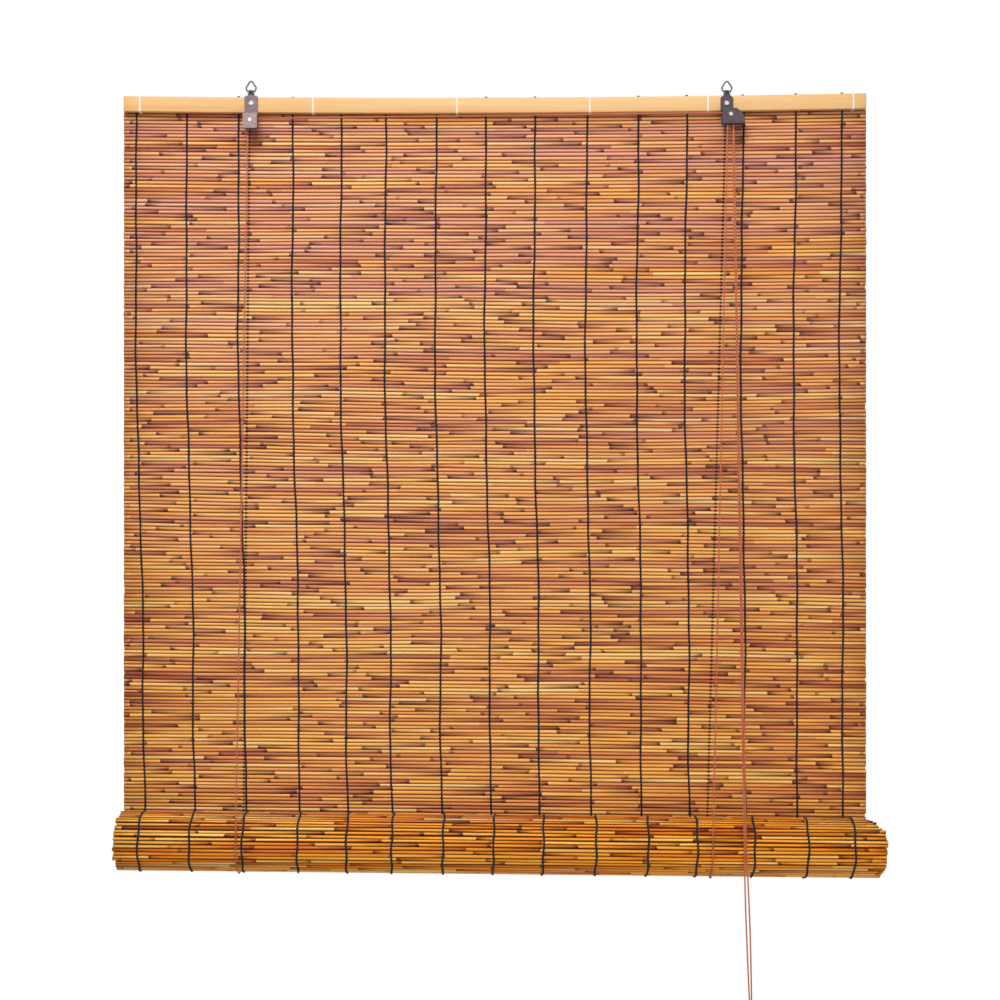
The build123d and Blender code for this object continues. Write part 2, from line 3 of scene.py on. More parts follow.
import bpy
import numpy as np
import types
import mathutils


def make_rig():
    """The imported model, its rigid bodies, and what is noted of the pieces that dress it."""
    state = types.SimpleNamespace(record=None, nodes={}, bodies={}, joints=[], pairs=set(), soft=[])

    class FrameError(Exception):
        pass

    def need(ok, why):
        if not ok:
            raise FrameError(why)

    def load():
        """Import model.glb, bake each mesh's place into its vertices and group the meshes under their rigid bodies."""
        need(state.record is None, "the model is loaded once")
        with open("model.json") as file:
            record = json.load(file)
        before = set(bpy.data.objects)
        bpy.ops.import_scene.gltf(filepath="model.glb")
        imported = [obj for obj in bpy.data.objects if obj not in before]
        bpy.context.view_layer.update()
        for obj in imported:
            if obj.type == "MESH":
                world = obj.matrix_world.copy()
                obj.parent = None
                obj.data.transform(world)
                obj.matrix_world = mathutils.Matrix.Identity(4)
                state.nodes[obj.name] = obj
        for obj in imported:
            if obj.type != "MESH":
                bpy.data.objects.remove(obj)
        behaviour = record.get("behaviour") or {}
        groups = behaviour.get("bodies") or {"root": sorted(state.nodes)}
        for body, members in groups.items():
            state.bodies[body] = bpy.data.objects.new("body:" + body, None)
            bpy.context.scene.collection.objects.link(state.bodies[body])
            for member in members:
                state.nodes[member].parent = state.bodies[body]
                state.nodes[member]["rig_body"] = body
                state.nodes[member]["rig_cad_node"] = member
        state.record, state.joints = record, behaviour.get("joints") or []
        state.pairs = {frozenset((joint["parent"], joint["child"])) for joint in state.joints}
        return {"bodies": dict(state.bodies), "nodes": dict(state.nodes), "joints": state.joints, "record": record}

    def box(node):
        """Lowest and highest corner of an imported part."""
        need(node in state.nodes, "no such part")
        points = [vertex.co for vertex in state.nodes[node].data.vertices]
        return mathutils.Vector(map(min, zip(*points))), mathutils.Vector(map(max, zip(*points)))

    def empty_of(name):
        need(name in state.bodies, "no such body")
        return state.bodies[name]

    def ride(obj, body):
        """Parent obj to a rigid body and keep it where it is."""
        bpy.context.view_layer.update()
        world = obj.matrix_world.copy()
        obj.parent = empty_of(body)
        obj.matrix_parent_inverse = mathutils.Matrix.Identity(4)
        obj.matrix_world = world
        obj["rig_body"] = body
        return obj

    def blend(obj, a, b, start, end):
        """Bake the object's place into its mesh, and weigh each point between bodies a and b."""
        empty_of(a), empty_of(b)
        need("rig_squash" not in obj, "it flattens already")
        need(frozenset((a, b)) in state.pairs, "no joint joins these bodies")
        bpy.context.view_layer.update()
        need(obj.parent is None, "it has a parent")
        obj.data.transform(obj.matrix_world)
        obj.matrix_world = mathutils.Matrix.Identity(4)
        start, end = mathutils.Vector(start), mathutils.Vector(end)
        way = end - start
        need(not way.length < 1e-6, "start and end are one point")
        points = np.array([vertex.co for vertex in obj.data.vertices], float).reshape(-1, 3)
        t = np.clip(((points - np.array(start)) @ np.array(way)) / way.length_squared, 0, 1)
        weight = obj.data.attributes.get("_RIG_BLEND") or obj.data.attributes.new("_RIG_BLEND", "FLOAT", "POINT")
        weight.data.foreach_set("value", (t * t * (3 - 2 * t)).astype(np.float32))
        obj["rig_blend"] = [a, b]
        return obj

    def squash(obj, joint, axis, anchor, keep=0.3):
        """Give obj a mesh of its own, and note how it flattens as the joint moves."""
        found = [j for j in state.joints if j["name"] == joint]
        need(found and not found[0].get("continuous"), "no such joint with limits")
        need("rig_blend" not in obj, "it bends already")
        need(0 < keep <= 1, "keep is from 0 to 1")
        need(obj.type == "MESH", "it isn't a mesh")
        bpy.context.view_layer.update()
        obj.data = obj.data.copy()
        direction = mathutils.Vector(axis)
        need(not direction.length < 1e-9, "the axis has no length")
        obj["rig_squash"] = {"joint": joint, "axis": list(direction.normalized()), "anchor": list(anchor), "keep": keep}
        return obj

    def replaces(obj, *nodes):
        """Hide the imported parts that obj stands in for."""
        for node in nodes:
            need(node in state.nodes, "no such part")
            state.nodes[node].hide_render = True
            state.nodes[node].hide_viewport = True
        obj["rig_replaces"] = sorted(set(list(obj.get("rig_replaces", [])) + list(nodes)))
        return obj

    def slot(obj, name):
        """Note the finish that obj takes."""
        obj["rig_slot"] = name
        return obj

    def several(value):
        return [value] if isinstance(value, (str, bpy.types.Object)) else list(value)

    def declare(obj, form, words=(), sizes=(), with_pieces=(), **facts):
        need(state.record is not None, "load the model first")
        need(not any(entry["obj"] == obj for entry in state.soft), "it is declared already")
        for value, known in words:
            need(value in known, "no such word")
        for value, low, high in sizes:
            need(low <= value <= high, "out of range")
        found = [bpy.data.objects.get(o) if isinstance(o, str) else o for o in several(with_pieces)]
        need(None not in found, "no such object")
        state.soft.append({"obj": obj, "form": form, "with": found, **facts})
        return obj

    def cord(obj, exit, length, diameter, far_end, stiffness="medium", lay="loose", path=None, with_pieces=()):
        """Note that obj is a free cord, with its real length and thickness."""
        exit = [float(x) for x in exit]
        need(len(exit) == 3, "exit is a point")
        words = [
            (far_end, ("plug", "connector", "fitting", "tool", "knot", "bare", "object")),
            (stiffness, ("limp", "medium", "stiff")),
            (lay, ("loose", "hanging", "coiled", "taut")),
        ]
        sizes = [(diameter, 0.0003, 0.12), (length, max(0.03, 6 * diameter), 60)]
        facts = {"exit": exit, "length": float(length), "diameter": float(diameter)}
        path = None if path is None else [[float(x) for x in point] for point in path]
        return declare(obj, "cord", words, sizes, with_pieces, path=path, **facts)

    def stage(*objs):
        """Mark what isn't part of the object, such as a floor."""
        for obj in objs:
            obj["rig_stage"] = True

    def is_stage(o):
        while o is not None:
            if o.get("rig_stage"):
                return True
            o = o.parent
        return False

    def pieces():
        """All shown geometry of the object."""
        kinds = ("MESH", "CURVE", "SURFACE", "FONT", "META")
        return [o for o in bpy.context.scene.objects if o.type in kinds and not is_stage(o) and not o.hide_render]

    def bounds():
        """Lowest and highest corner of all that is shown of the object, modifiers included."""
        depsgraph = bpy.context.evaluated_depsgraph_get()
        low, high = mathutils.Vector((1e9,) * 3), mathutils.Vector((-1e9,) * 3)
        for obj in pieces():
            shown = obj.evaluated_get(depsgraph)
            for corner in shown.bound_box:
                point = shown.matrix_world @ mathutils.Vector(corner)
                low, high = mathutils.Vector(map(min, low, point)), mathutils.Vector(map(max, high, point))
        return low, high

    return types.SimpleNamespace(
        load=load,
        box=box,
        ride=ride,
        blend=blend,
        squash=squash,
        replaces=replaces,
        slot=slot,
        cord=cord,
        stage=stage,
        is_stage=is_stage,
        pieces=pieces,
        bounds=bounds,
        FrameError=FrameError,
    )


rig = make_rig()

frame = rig.load()
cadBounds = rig.bounds()
nodes = frame["nodes"]
joints = {joint["name"]: joint for joint in frame["joints"]}
scene = bpy.context.scene
mm = 0.001
print("frame loaded:", len(nodes), "nodes")


# Places that the frame gives

matLow, matHigh = (np.array(corner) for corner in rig.box("reed_mat"))
railLow, railHigh = (np.array(corner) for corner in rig.box("headrail"))
tieLow, tieHigh = (np.array(corner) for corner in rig.box("headrail_ties"))
knotHigh = np.array(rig.box("twine_knots")[1])
matTop = matHigh[2]
matWidth = matHigh[0] - matLow[0]
matMiddle = (matLow[1] + matHigh[1]) / 2  # in y
rollAxis = np.array(joints["roll_spin"]["pos_m"])
rollSlope = joints["roll_spin"]["axis"][2] / joints["roll_spin"]["axis"][0]
rollRadius = matHigh[1] - rollAxis[1]
liftTravel = joints["roll_lift"]["range_m"][1]


def rollHeight(x):
    # height of the roll's tilted axis = its middle + slope times the distance sideways
    return rollAxis[2] + rollSlope * (x - rollAxis[0])


railWarp = dict(level=-1.3 * mm, tilt=2.0 * mm, sag=4.0 * mm)  # how the batten has warped


def railBow(x):
    # lift of the batten = level + tilt u + sag u^2, with u from -1 at its left to 1 at its right
    u = x / railHigh[0]
    return railWarp["level"] + railWarp["tilt"] * u + railWarp["sag"] * u**2


# Camera

view = dict(place=(6.7 * mm, -2587 * mm, -559.5 * mm), lens=69.54, sensor=36.0)

cameraData = bpy.data.cameras.new("camera")
cameraData.lens = view["lens"]
cameraData.sensor_width = view["sensor"]
camera = bpy.data.objects.new("camera", cameraData)
camera.location = view["place"]
camera.rotation_euler = (np.pi / 2, 0, 0)  # level, straight at the mat
scene.collection.objects.link(camera)
scene.camera = camera
scene.view_settings.view_transform = "Standard"


# Mesh helpers

def stack(*axes):
    # points from their coordinates, each spread over the shape of the others
    return np.stack(np.broadcast_arrays(*axes), -1)


def cornerAngles(sides):
    # angle of corner j of a tube = 2 pi (j + 1/2) / sides
    return 2 * np.pi * (np.arange(sides) + 0.5) / sides


def tubeFaces(tubes, rings, sides, closed):
    # quad (i, j) of a tube joins rings i and i + 1 and sides j and j + 1, the last to the first
    counts = (tubes, rings if closed else rings - 1, sides)
    tube, ring, side = np.meshgrid(*(np.arange(count) for count in counts), indexing="ij")
    here = (tube * rings + ring) * sides
    there = (tube * rings + (ring + 1) % rings) * sides
    beside = (side + 1) % sides
    corners = stack(here + side, here + beside, there + beside, there + side)
    return corners.reshape(-1, 4)


def tubeCaps(tubes, rings, sides):
    # the first ring of each tube backwards, and the last ring forwards
    first = np.arange(tubes)[:, None] * rings * sides
    side = np.arange(sides)[None, :]
    return np.concatenate([first + side[:, ::-1], first + (rings - 1) * sides + side])


def tubeSpread(along, sides, closed):
    # map of a tube, corner by corner: u goes once round it, and v is the length along it
    if closed:
        along = np.concatenate([along, 2 * along[:, -1:] - along[:, -2:-1]], 1)
    left = np.arange(sides) / sides
    right = left + 1 / sides
    low, high = along[:, :-1, None], along[:, 1:, None]
    return stack(stack(left, right, right, left), stack(low, low, high, high)).reshape(-1, 2)


def tubeMesh(points, along, closed=False):
    # tubes from their points, tube by ring by side, and the length along them to each ring
    tubes, rings, sides = points.shape[:3]
    return dict(
        points=points.reshape(-1, 3),
        quads=tubeFaces(tubes, rings, sides, closed),
        caps=None if closed else tubeCaps(tubes, rings, sides),
        spread=tubeSpread(along, sides, closed),
    )


def tubePart(paths, look, sideways=(1, 0, 0), closed=False):
    # a circle carried along each path: centre + radius (n1 cos a + n2 sin a), with n1 the sideways
    # vector squared to the path and n2 = path x n1
    paths = np.asarray(paths, float)
    if closed:
        heading = np.roll(paths, -1, 1) - np.roll(paths, 1, 1)
    else:
        heading = np.gradient(paths, axis=1)
    heading /= np.linalg.norm(heading, axis=2, keepdims=True)
    first = sideways - (heading @ np.asarray(sideways, float))[..., None] * heading
    first /= np.linalg.norm(first, axis=2, keepdims=True)
    second = np.cross(heading, first)
    angle = cornerAngles(look["sides"])[:, None]
    reach = np.broadcast_to(look["radius"], paths.shape[:2])[..., None, None]
    ring = first[:, :, None] * np.cos(angle) + second[:, :, None] * np.sin(angle)
    hop = np.linalg.norm(np.diff(paths, axis=1), axis=2)
    along = np.concatenate([np.zeros((len(paths), 1)), hop.cumsum(1)], 1)
    return tubeMesh(paths[:, :, None] + reach * ring, along, closed)


def addPiece(name, parts, body, slot, material, stands, values=None):
    # one mesh from one or more parts, put on its body in place of the solids that it stands for
    points, faces, spread, start = [], [], [], 0
    for part in parts:
        points += part["points"].tolist()
        faces += (part["quads"] + start).tolist()
        spread.append(part["spread"])
        if part["caps"] is not None:
            faces += (part["caps"] + start).tolist()
            spread.append(np.zeros((part["caps"].size, 2)))
        start += len(part["points"])
    mesh = bpy.data.meshes.new(name)
    mesh.from_pydata(points, [], faces)
    mesh.uv_layers.new(name="UVMap").data.foreach_set("uv", np.concatenate(spread).ravel())
    for key, numbers in (values or {}).items():
        mesh.attributes.new(key, "FLOAT", "POINT").data.foreach_set("value", numbers.ravel())
    mesh.polygons.foreach_set("use_smooth", np.ones(len(faces), bool))
    mesh.materials.append(material)
    mesh.update()
    piece = bpy.data.objects.new(name, mesh)
    scene.collection.objects.link(piece)
    if body:
        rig.ride(piece, body)
    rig.slot(piece, slot)
    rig.replaces(piece, *stands)
    return piece


# Shader helpers

def paint(red, green, blue):
    # a colour as seen on a screen, 0 to 255, made linear
    seen = np.array([red, green, blue]) / 255
    linear = np.where(seen > 0.04045, ((seen + 0.055) / 1.055) ** 2.4, seen / 12.92)
    return (*linear.tolist(), 1.0)


def feed(socket, value):
    # links a socket to another one, or sets it to a value
    if isinstance(value, bpy.types.NodeSocket):
        socket.id_data.links.new(value, socket)
    else:
        socket.default_value = value


def addNode(tree, kind, inputs=None, **settings):
    node = tree.nodes.new(kind)
    for key, value in settings.items():
        setattr(node, key, value)
    for key, value in (inputs or {}).items():
        feed(node.inputs[key], value)
    return node


def sums(operation, *values):
    # one sum, in the tree that the sockets among its values are from
    tree = next(value.id_data for value in values if isinstance(value, bpy.types.NodeSocket))
    return addNode(tree, "ShaderNodeMath", dict(enumerate(values)), operation=operation).outputs[0]


def times(first, second):
    return sums("MULTIPLY", first, second)


def stretched(vector, factors):
    inputs = {0: vector, 1: factors}
    return addNode(vector.id_data, "ShaderNodeVectorMath", inputs, operation="MULTIPLY").outputs[0]


def limited(value, low, high):
    # 0 at low, 1 at high, straight between them
    inputs = {"Value": value, "From Min": low, "From Max": high}
    return addNode(value.id_data, "ShaderNodeMapRange", inputs).outputs["Result"]


def noise(vector, scale, detail, roughness=0.5):
    inputs = {"Vector": vector, "Scale": scale, "Detail": detail, "Roughness": roughness}
    return addNode(vector.id_data, "ShaderNodeTexNoise", inputs).outputs[0]


def mixed(share, under, over):
    inputs = {0: share, 6: under, 7: over}  # 6, 7 and output 2 are those of colours
    return addNode(share.id_data, "ShaderNodeMix", inputs, data_type="RGBA").outputs[2]


def ramp(share, stops, colours):
    # colours at their stops from 0 to 1
    node = addNode(share.id_data, "ShaderNodeValToRGB", {"Fac": share})
    while len(node.color_ramp.elements) < len(stops):
        node.color_ramp.elements.new(0.5)
    for element, stop, colour in zip(node.color_ramp.elements, stops, colours):
        element.position, element.color = stop, colour
    return node.outputs["Color"]


def attribute(tree, name):
    return addNode(tree, "ShaderNodeAttribute", attribute_name=name).outputs["Fac"]


def objectPlace(tree):
    return addNode(tree, "ShaderNodeTexCoord").outputs["Object"]


def axes(vector):
    return addNode(vector.id_data, "ShaderNodeSeparateXYZ", {0: vector}).outputs


def newGroup(name, vectors, numbers, results):
    # an empty shader group, the sockets that it is given and those that it gives
    tree = bpy.data.node_groups.new(name, "ShaderNodeTree")
    kinds = (vectors, "INPUT", "Vector"), (numbers, "INPUT", "Float"), (results, "OUTPUT", "Float")
    for names, way, kind in kinds:
        for socket in names.split():
            tree.interface.new_socket(socket, in_out=way, socket_type=f"NodeSocket{kind}")
    start, end = (tree.nodes.new(kind) for kind in ("NodeGroupInput", "NodeGroupOutput"))
    return tree, start.outputs, end.inputs


def placeGroup(tree, group, **inputs):
    return addNode(tree, "ShaderNodeGroup", inputs, node_tree=group).outputs


def newMaterial(name, inputs):
    material = bpy.data.materials.new(name)
    material.use_nodes = True
    tree = material.node_tree
    shader = tree.nodes["Principled BSDF"]
    for key, value in inputs.items():
        shader.inputs[key].default_value = value
    return material, tree, shader


def dress(shader, colour, height, strength, distance=0.3 * mm):
    # a colour and bumps
    inputs = {"Height": height, "Strength": strength, "Distance": distance}
    bump = addNode(height.id_data, "ShaderNodeBump", inputs)
    feed(shader.inputs["Base Color"], colour)
    feed(shader.inputs["Normal"], bump.outputs["Normal"])


texture = dict(
    blotch=(0.16, 0.16, 0.16),  # room of the blotches, to that of the grain
    blotchDetail=2.0, patchDetail=5.0, patchRoughness=0.65, scratch=(90.0, 900.0, 2600.0),
    scratchDetail=3.0,
)


def fibreGroup():
    # stringy grain: noise whose room is squeezed along the stem and stretched across it
    tree, given, gives = newGroup("fibre grain", "Vector Stretch", "Detail", "Grain Blotch")
    room = stretched(given["Vector"], given["Stretch"])
    wide = stretched(room, texture["blotch"])
    feed(gives["Grain"], noise(room, 1.0, given["Detail"]))
    feed(gives["Blotch"], noise(wide, 1.0, texture["blotchDetail"]))
    return tree


def strandGroup():
    # strands laid round a cord: the higher of sin 2 pi (v / Lay + Round u) and, where Cross is 1,
    # sin 2 pi (v / Lay - Round u), brought to 0 to 1
    tree, given, gives = newGroup("laid strands", "", "Round Lay Cross", "Height")
    u, v = axes(addNode(tree, "ShaderNodeUVMap", uv_map="UVMap").outputs["UV"])[:2]
    turn = times(u, given["Round"])
    run = sums("DIVIDE", v, given["Lay"])
    phases = (times(sums(way, run, turn), 2 * np.pi) for way in ("ADD", "SUBTRACT"))
    one, other = (sums("SINE", phase) for phase in phases)
    lack = sums("SUBTRACT", 1.0, given["Cross"])
    highest = sums("MAXIMUM", one, sums("SUBTRACT", times(other, given["Cross"]), lack))
    feed(gives["Height"], sums("MULTIPLY_ADD", highest, 0.5, 0.5))
    return tree


def tarnishGroup():
    # dull patches and fine scratches on metal: two noises of different size
    tree, given, gives = newGroup("tarnish", "Vector", "Size", "Patches Scratches")
    look = texture["patchDetail"], texture["patchRoughness"]
    feed(gives["Patches"], noise(given["Vector"], given["Size"], *look))
    thin = stretched(given["Vector"], texture["scratch"])
    feed(gives["Scratches"], noise(thin, 1.0, texture["scratchDetail"]))
    return tree


fibre, strands, tarnish = fibreGroup(), strandGroup(), tarnishGroup()


# Reeds

reedStem = dict(
    sides=9,
    nodeSlots=8,  # places for nodes along a stem
    nodeShare=0.9,  # how many of them are taken
    nodeJitter=0.7,  # how far a node may lie from its place, as a share of an internode
    nodeMargin=8 * mm,  # no node is nearer to an end
    ringOffsets=(-0.6 * mm, 0.2 * mm, 2.6 * mm, 7 * mm),  # rings round a node, as the stem grew
    plainRings=6, nodeWidth=2.5 * mm, nodeBulge=0.05, taper=0.04,
    slant=1.7 * mm,  # how far a node leans along the stem, at most
    slantShare=(0.2, 1.0),
    squareEnd=20 * mm,  # the cut ends are square
    scar=7 * mm,  # how far the dark of a node reaches
    scarStart=1.6,  # all from 1 up is full
    streakReach=(14 * mm, 84 * mm),
    streakStrength=(0.05, 1.4),  # all from 1 up are full
    streakStart=1.4, streakMargin=2 * mm, internodeSpread=0.15,
    internodeRise=0.2,  # how much paler an internode ends than it starts
    toneSpread=0.11, hollowDepth=6 * mm, hollowShare=0.55, hollowTaper=0.8,
    hollowStreak=(0.5, 1),  # painted shade on its rim and on its floor
    streakBelow=(0.5, 0.5),  # dark of a streak at the top of a stem, and how much more below: painted shade
    # scars get painted shade below a stem too
    scarBelow=(0.5, 0.6), scarRound=(0.75, 0.25),
    creviceAbove=0.78,  # painted shade in the crevice above a stem, to that below it
    creviceStart=0.34, creviceWidth=0.5,
)


def fading(start, ahead, reach):
    # start (1 - ahead / reach), held between 0 and 1
    return np.clip(start - start * ahead / reach, 0, 1)


def rising(ends, share):
    # a + b times the share
    return ends[0] + ends[1] * share


def reedProfiles(look, leftEnd, rightEnd, girth, rng):
    # along each stem: radius = girth x (1 + a bell at each node) x a taper to the tip; the tone
    # steps at the nodes and rises between them; a dark scar and a streak start at a node and fade
    count, slots = len(girth), look["nodeSlots"]
    left, right = leftEnd[:, None], rightEnd[:, None]
    places = np.arange(slots) + rng.random((count, 1))
    places = places + look["nodeJitter"] * (rng.random((count, slots)) - 0.5)
    nodeX = left + (right - left) * places / slots
    nodeX = np.sort(np.clip(nodeX, left + look["nodeMargin"], right - look["nodeMargin"]), 1)
    present = rng.random((count, slots)) < look["nodeShare"]
    heading = np.where(rng.random((count, 1)) < 0.5, -1.0, 1.0)  # which way the stem grew
    reach = rng.uniform(*look["streakReach"], (count, slots))
    strength = present * rng.uniform(*look["streakStrength"], (count, slots)).clip(0, 1)
    margin = look["streakMargin"]
    fade = np.clip(nodeX + heading * reach, left + margin, right - margin)
    beside = nodeX[:, :, None] + heading[:, :, None] * np.array(look["ringOffsets"])
    plain = left + (right - left) * np.linspace(0, 1, look["plainRings"])
    x = np.sort(np.concatenate([beside.reshape(count, -1), fade, plain], 1), 1)
    x = np.clip(x, left, right)
    offset = x[:, :, None] - nodeX[:, None, :]
    ahead = offset * heading[:, :, None]
    begun = ahead > 0
    bell = np.exp(-((offset / look["nodeWidth"]) ** 2)) * present[:, None, :]
    streak = fading(look["streakStart"], ahead, reach[:, None, :]) * begun * strength[:, None, :]
    scar = fading(look["scarStart"], ahead, look["scar"]) * begun * present[:, None, :]
    internode = (offset > 0).sum(2)
    edges = np.concatenate([left, nodeX, right], 1)
    low, high = (np.take_along_axis(edges, internode + step, 1) for step in (0, 1))
    grown = heading * ((x - low) / np.maximum(high - low, mm) - 0.5)  # -1/2 to 1/2 in an internode
    steps = rng.normal(0, look["internodeSpread"], (count, slots + 1))
    tone = rng.normal(0.5, look["toneSpread"], (count, 1)) + np.take_along_axis(steps, internode, 1)
    tip = 0.5 + heading * ((x - left) / (right - left) - 0.5)
    inside = np.clip(np.minimum(x - left, right - x) / look["squareEnd"], 0, 1)
    stems = dict(
        x=x,
        radius=girth[:, None] * (1 + look["nodeBulge"] * bell.sum(2)) * (1 - look["taper"] * tip),
        tone=tone + look["internodeRise"] * grown,
        streak=streak.max(2),
        dot=scar.max(2),
        slant=look["slant"] * rng.uniform(*look["slantShare"], (count, 1)) * inside,
        phase=np.broadcast_to(rng.uniform(0, 2 * np.pi, (count, 1)), x.shape),
    )
    return hollowEnds(look, stems)


def hollowEnds(look, stems):
    # two more rings at each end: the rim of the hollow, and its floor a little way in
    ends = []
    for place, inwards in ((slice(0, 1), 1), (slice(-1, None), -1)):
        rim = {key: value[:, place] for key, value in stems.items()}
        rim["radius"] = rim["radius"] * look["hollowShare"]
        floor = dict(rim, radius=rim["radius"] * look["hollowTaper"])
        floor["x"] = rim["x"] + inwards * look["hollowDepth"]
        # painted shade in the hollow, carried with the streaks
        for ring, dark in zip((rim, floor), look["hollowStreak"]):
            ring["streak"] = np.full_like(ring["streak"], dark)
        ends.append([floor, rim])
    order = [*ends[0], stems, *ends[1][::-1]]
    return {key: np.concatenate([rings[key] for rings in order], 1) for key in stems}


def reedPart(look, stems, centreY, centreZ, bearing):
    # point of a stem = (x + slant sin(a + phase), y + radius cos a, z + radius sin a); painted shade
    # darkens the crevice between neighbours, where a point lies square to the way that the mat faces
    # there, and it is deeper below a stem than above it; scars and streaks get painted shade below too
    along = stems["x"]
    stems = {key: value[:, :, None] for key, value in stems.items()}
    angle = cornerAngles(look["sides"])
    turn = angle + stems["phase"]
    x = stems["x"] + stems["slant"] * np.sin(turn)
    y = centreY[:, :, None] + stems["radius"] * np.cos(angle)
    z = centreZ[:, :, None] + stems["radius"] * np.sin(angle)
    turned = np.sin(angle[None, None, :] - bearing[:, None, None])
    below = np.clip(0.5 + turned, 0, 1)
    turned = np.where(turned > 0, turned, -look["creviceAbove"] * turned)
    crevice = np.clip((turned - look["creviceStart"]) / look["creviceWidth"], 0, 1)
    dot = stems["dot"] * rising(look["scarBelow"], below)
    values = dict(
        tone=stems["tone"],
        streak=stems["streak"] * rising(look["streakBelow"], below),
        dot=dot * rising(look["scarRound"], np.cos(turn)),
        crevice=crevice,
    )
    values = {key: np.broadcast_to(value, y.shape).reshape(-1) for key, value in values.items()}
    return tubeMesh(stack(x, y, z), along), values


def cordBehind(parts, look, start, slope):
    # painted shade between the reeds where a cord runs behind the mat: 1 near x = start + slope (z - top)
    drift = times(sums("SUBTRACT", parts[2], look["cordTop"]), slope)
    away = sums("SUBTRACT", sums("SUBTRACT", parts[0], start), drift)
    return limited(sums("ABSOLUTE", away), *look["cordFade"])


def grainOf(tree, look):
    inputs = dict(Vector=objectPlace(tree), Stretch=look["stretch"], Detail=look["detail"])
    return placeGroup(tree, fibre, **inputs)


def reedMaterial(name, look):
    # stem colour by its tone, a painted sheen rosier towards the top, darkened by streaks, nodes and painted shade in
    # crevices
    material, tree, shader = newMaterial(name, look["surface"])
    parts = axes(objectPlace(tree))
    grain = grainOf(tree, look)
    grained = times(sums("SUBTRACT", grain["Grain"], 0.5), look["grain"])
    tone = sums("ADD", attribute(tree, "tone"), grained)
    colour = ramp(tone, look["stops"], look["tones"])
    # painted sheen: rosier towards the top in blotches, with mauver streaks there too
    high = limited(parts[2], *look["rosyRange"])
    rosy = times(high, limited(grain["Blotch"], *look["rosyBlotch"]))
    colour = mixed(times(rosy, look["rosyShare"]), colour, look["rosy"])
    streak = times(attribute(tree, "streak"), limited(grain["Grain"], *look["streakGrain"]))
    dark = mixed(high, look["streakLow"], look["streakHigh"])
    colour = mixed(times(streak, look["streakShare"]), colour, dark)
    colour = mixed(attribute(tree, "dot"), colour, look["node"])
    # painted shade in the crevices between stems
    crevice = attribute(tree, "crevice")
    colour = mixed(times(crevice, look["creviceShare"]), colour, look["crevice"])
    # painted shade in the gaps where the lift cords run behind the mat
    gap = limited(crevice, *look["cordCrevice"])
    for line in look["cordsBehind"]:
        colour = mixed(times(cordBehind(parts, look, *line), gap), colour, look["cordShade"])
    dress(shader, colour, grain["Grain"], look["bump"])
    return material


matColours = dict(
    surface={"Roughness": 0.3, "Specular IOR Level": 0.24}, bump=0.2,
    stretch=(9.0, 420.0, 420.0), detail=4.0, grain=0.35, stops=(0.08, 0.34, 0.6, 0.92),
    tones=[paint(172, 92, 58), paint(226, 141, 76), paint(252, 180, 82), paint(255, 212, 128)],
    rosyRange=(-0.85, 0.05),  # in z, a painted sheen that turns the stems rosier towards the top
    rosyBlotch=(0.3, 0.65), rosyShare=0.8, rosy=paint(220, 156, 144),
    streakGrain=(0.1, 0.5), streakShare=0.95, streakLow=paint(74, 24, 16),
    streakHigh=paint(72, 34, 50), node=paint(26, 4, 6), creviceShare=0.97,
    # colour of the painted shade in the crevices
    crevice=paint(98, 18, 0),
    # painted shade where the lift cords run behind the mat
    cordsBehind=[(-330.2 * mm, 0.00847), (310.5 * mm, 0.02605)],  # start and slope
    cordTop=-31.1 * mm, cordFade=(2.2 * mm, 0.88 * mm), cordCrevice=(0.0, 0.4),
    cordShade=paint(34, 10, 10),
)
rollColours = dict(
    matColours,
    surface={"Roughness": 0.3, "Specular IOR Level": 0.14},
    tones=[paint(186, 86, 18), paint(238, 128, 20), paint(254, 166, 38), paint(255, 210, 118)],
    rosyShare=0.0, streakLow=paint(84, 20, 6), streakHigh=paint(76, 24, 12),
    # colour of the painted shade in the crevices
    crevice=paint(80, 10, 0),
    cordsBehind=[],
)


# Flat part of the mat

mat = dict(
    rows=208, girthSpread=0.07, girthRange=(0.8, 1.2),
    overlap=1.14,  # stems press on each other
    depthSpread=0.12 * mm,
    bowPower=3,  # how soon the rail's bow dies out downwards
    wander=[(0.95, 1.1 * mm, 0.045), (0.37, 0.6 * mm, 0.11), (0.15, 0.2 * mm, 0.18)],
    driftGrowth=0.3,  # a wave has a length, a height and a drift, which grows from one to the next
    trim=0.8 * mm,  # stems end short of the solid's edge
    ragged=0.25 * mm,
    shortTips=0.05,  # share of stems that end shorter on the right
    shortBy=1.2 * mm, seed=41,
)


def rowDepths():
    # edges of the rows below the top: thicknesses vary about the mean and add up to the drop
    rng = np.random.default_rng(mat["seed"])
    thickness = np.clip(rng.normal(1.0, mat["girthSpread"], mat["rows"]), *mat["girthRange"])
    drop = matTop - rollAxis[2]
    return np.concatenate([[0], thickness.cumsum() / thickness.sum() * drop]), drop


rowEdges, matDrop = rowDepths()
rowMiddles = (rowEdges[1:] + rowEdges[:-1]) / 2
rowGirths = np.diff(rowEdges) / 2


def rowHeight(row, depth, x):
    # a row goes from the warped rail's line to the tilted roll's by its share s of the drop, and it
    # wanders by waves times 4 s (1 - s)
    share = depth / matDrop
    z = matTop * (1 - share) + rollHeight(x) * share + railBow(x) * (1 - share) ** mat["bowPower"]
    for wave, (length, height, drift) in enumerate(mat["wander"]):
        phase = row * drift * (1 + mat["driftGrowth"] * wave)
        z = z + height * np.sin(2 * np.pi * x / length + phase) * share * (1 - share) * 4
    return z


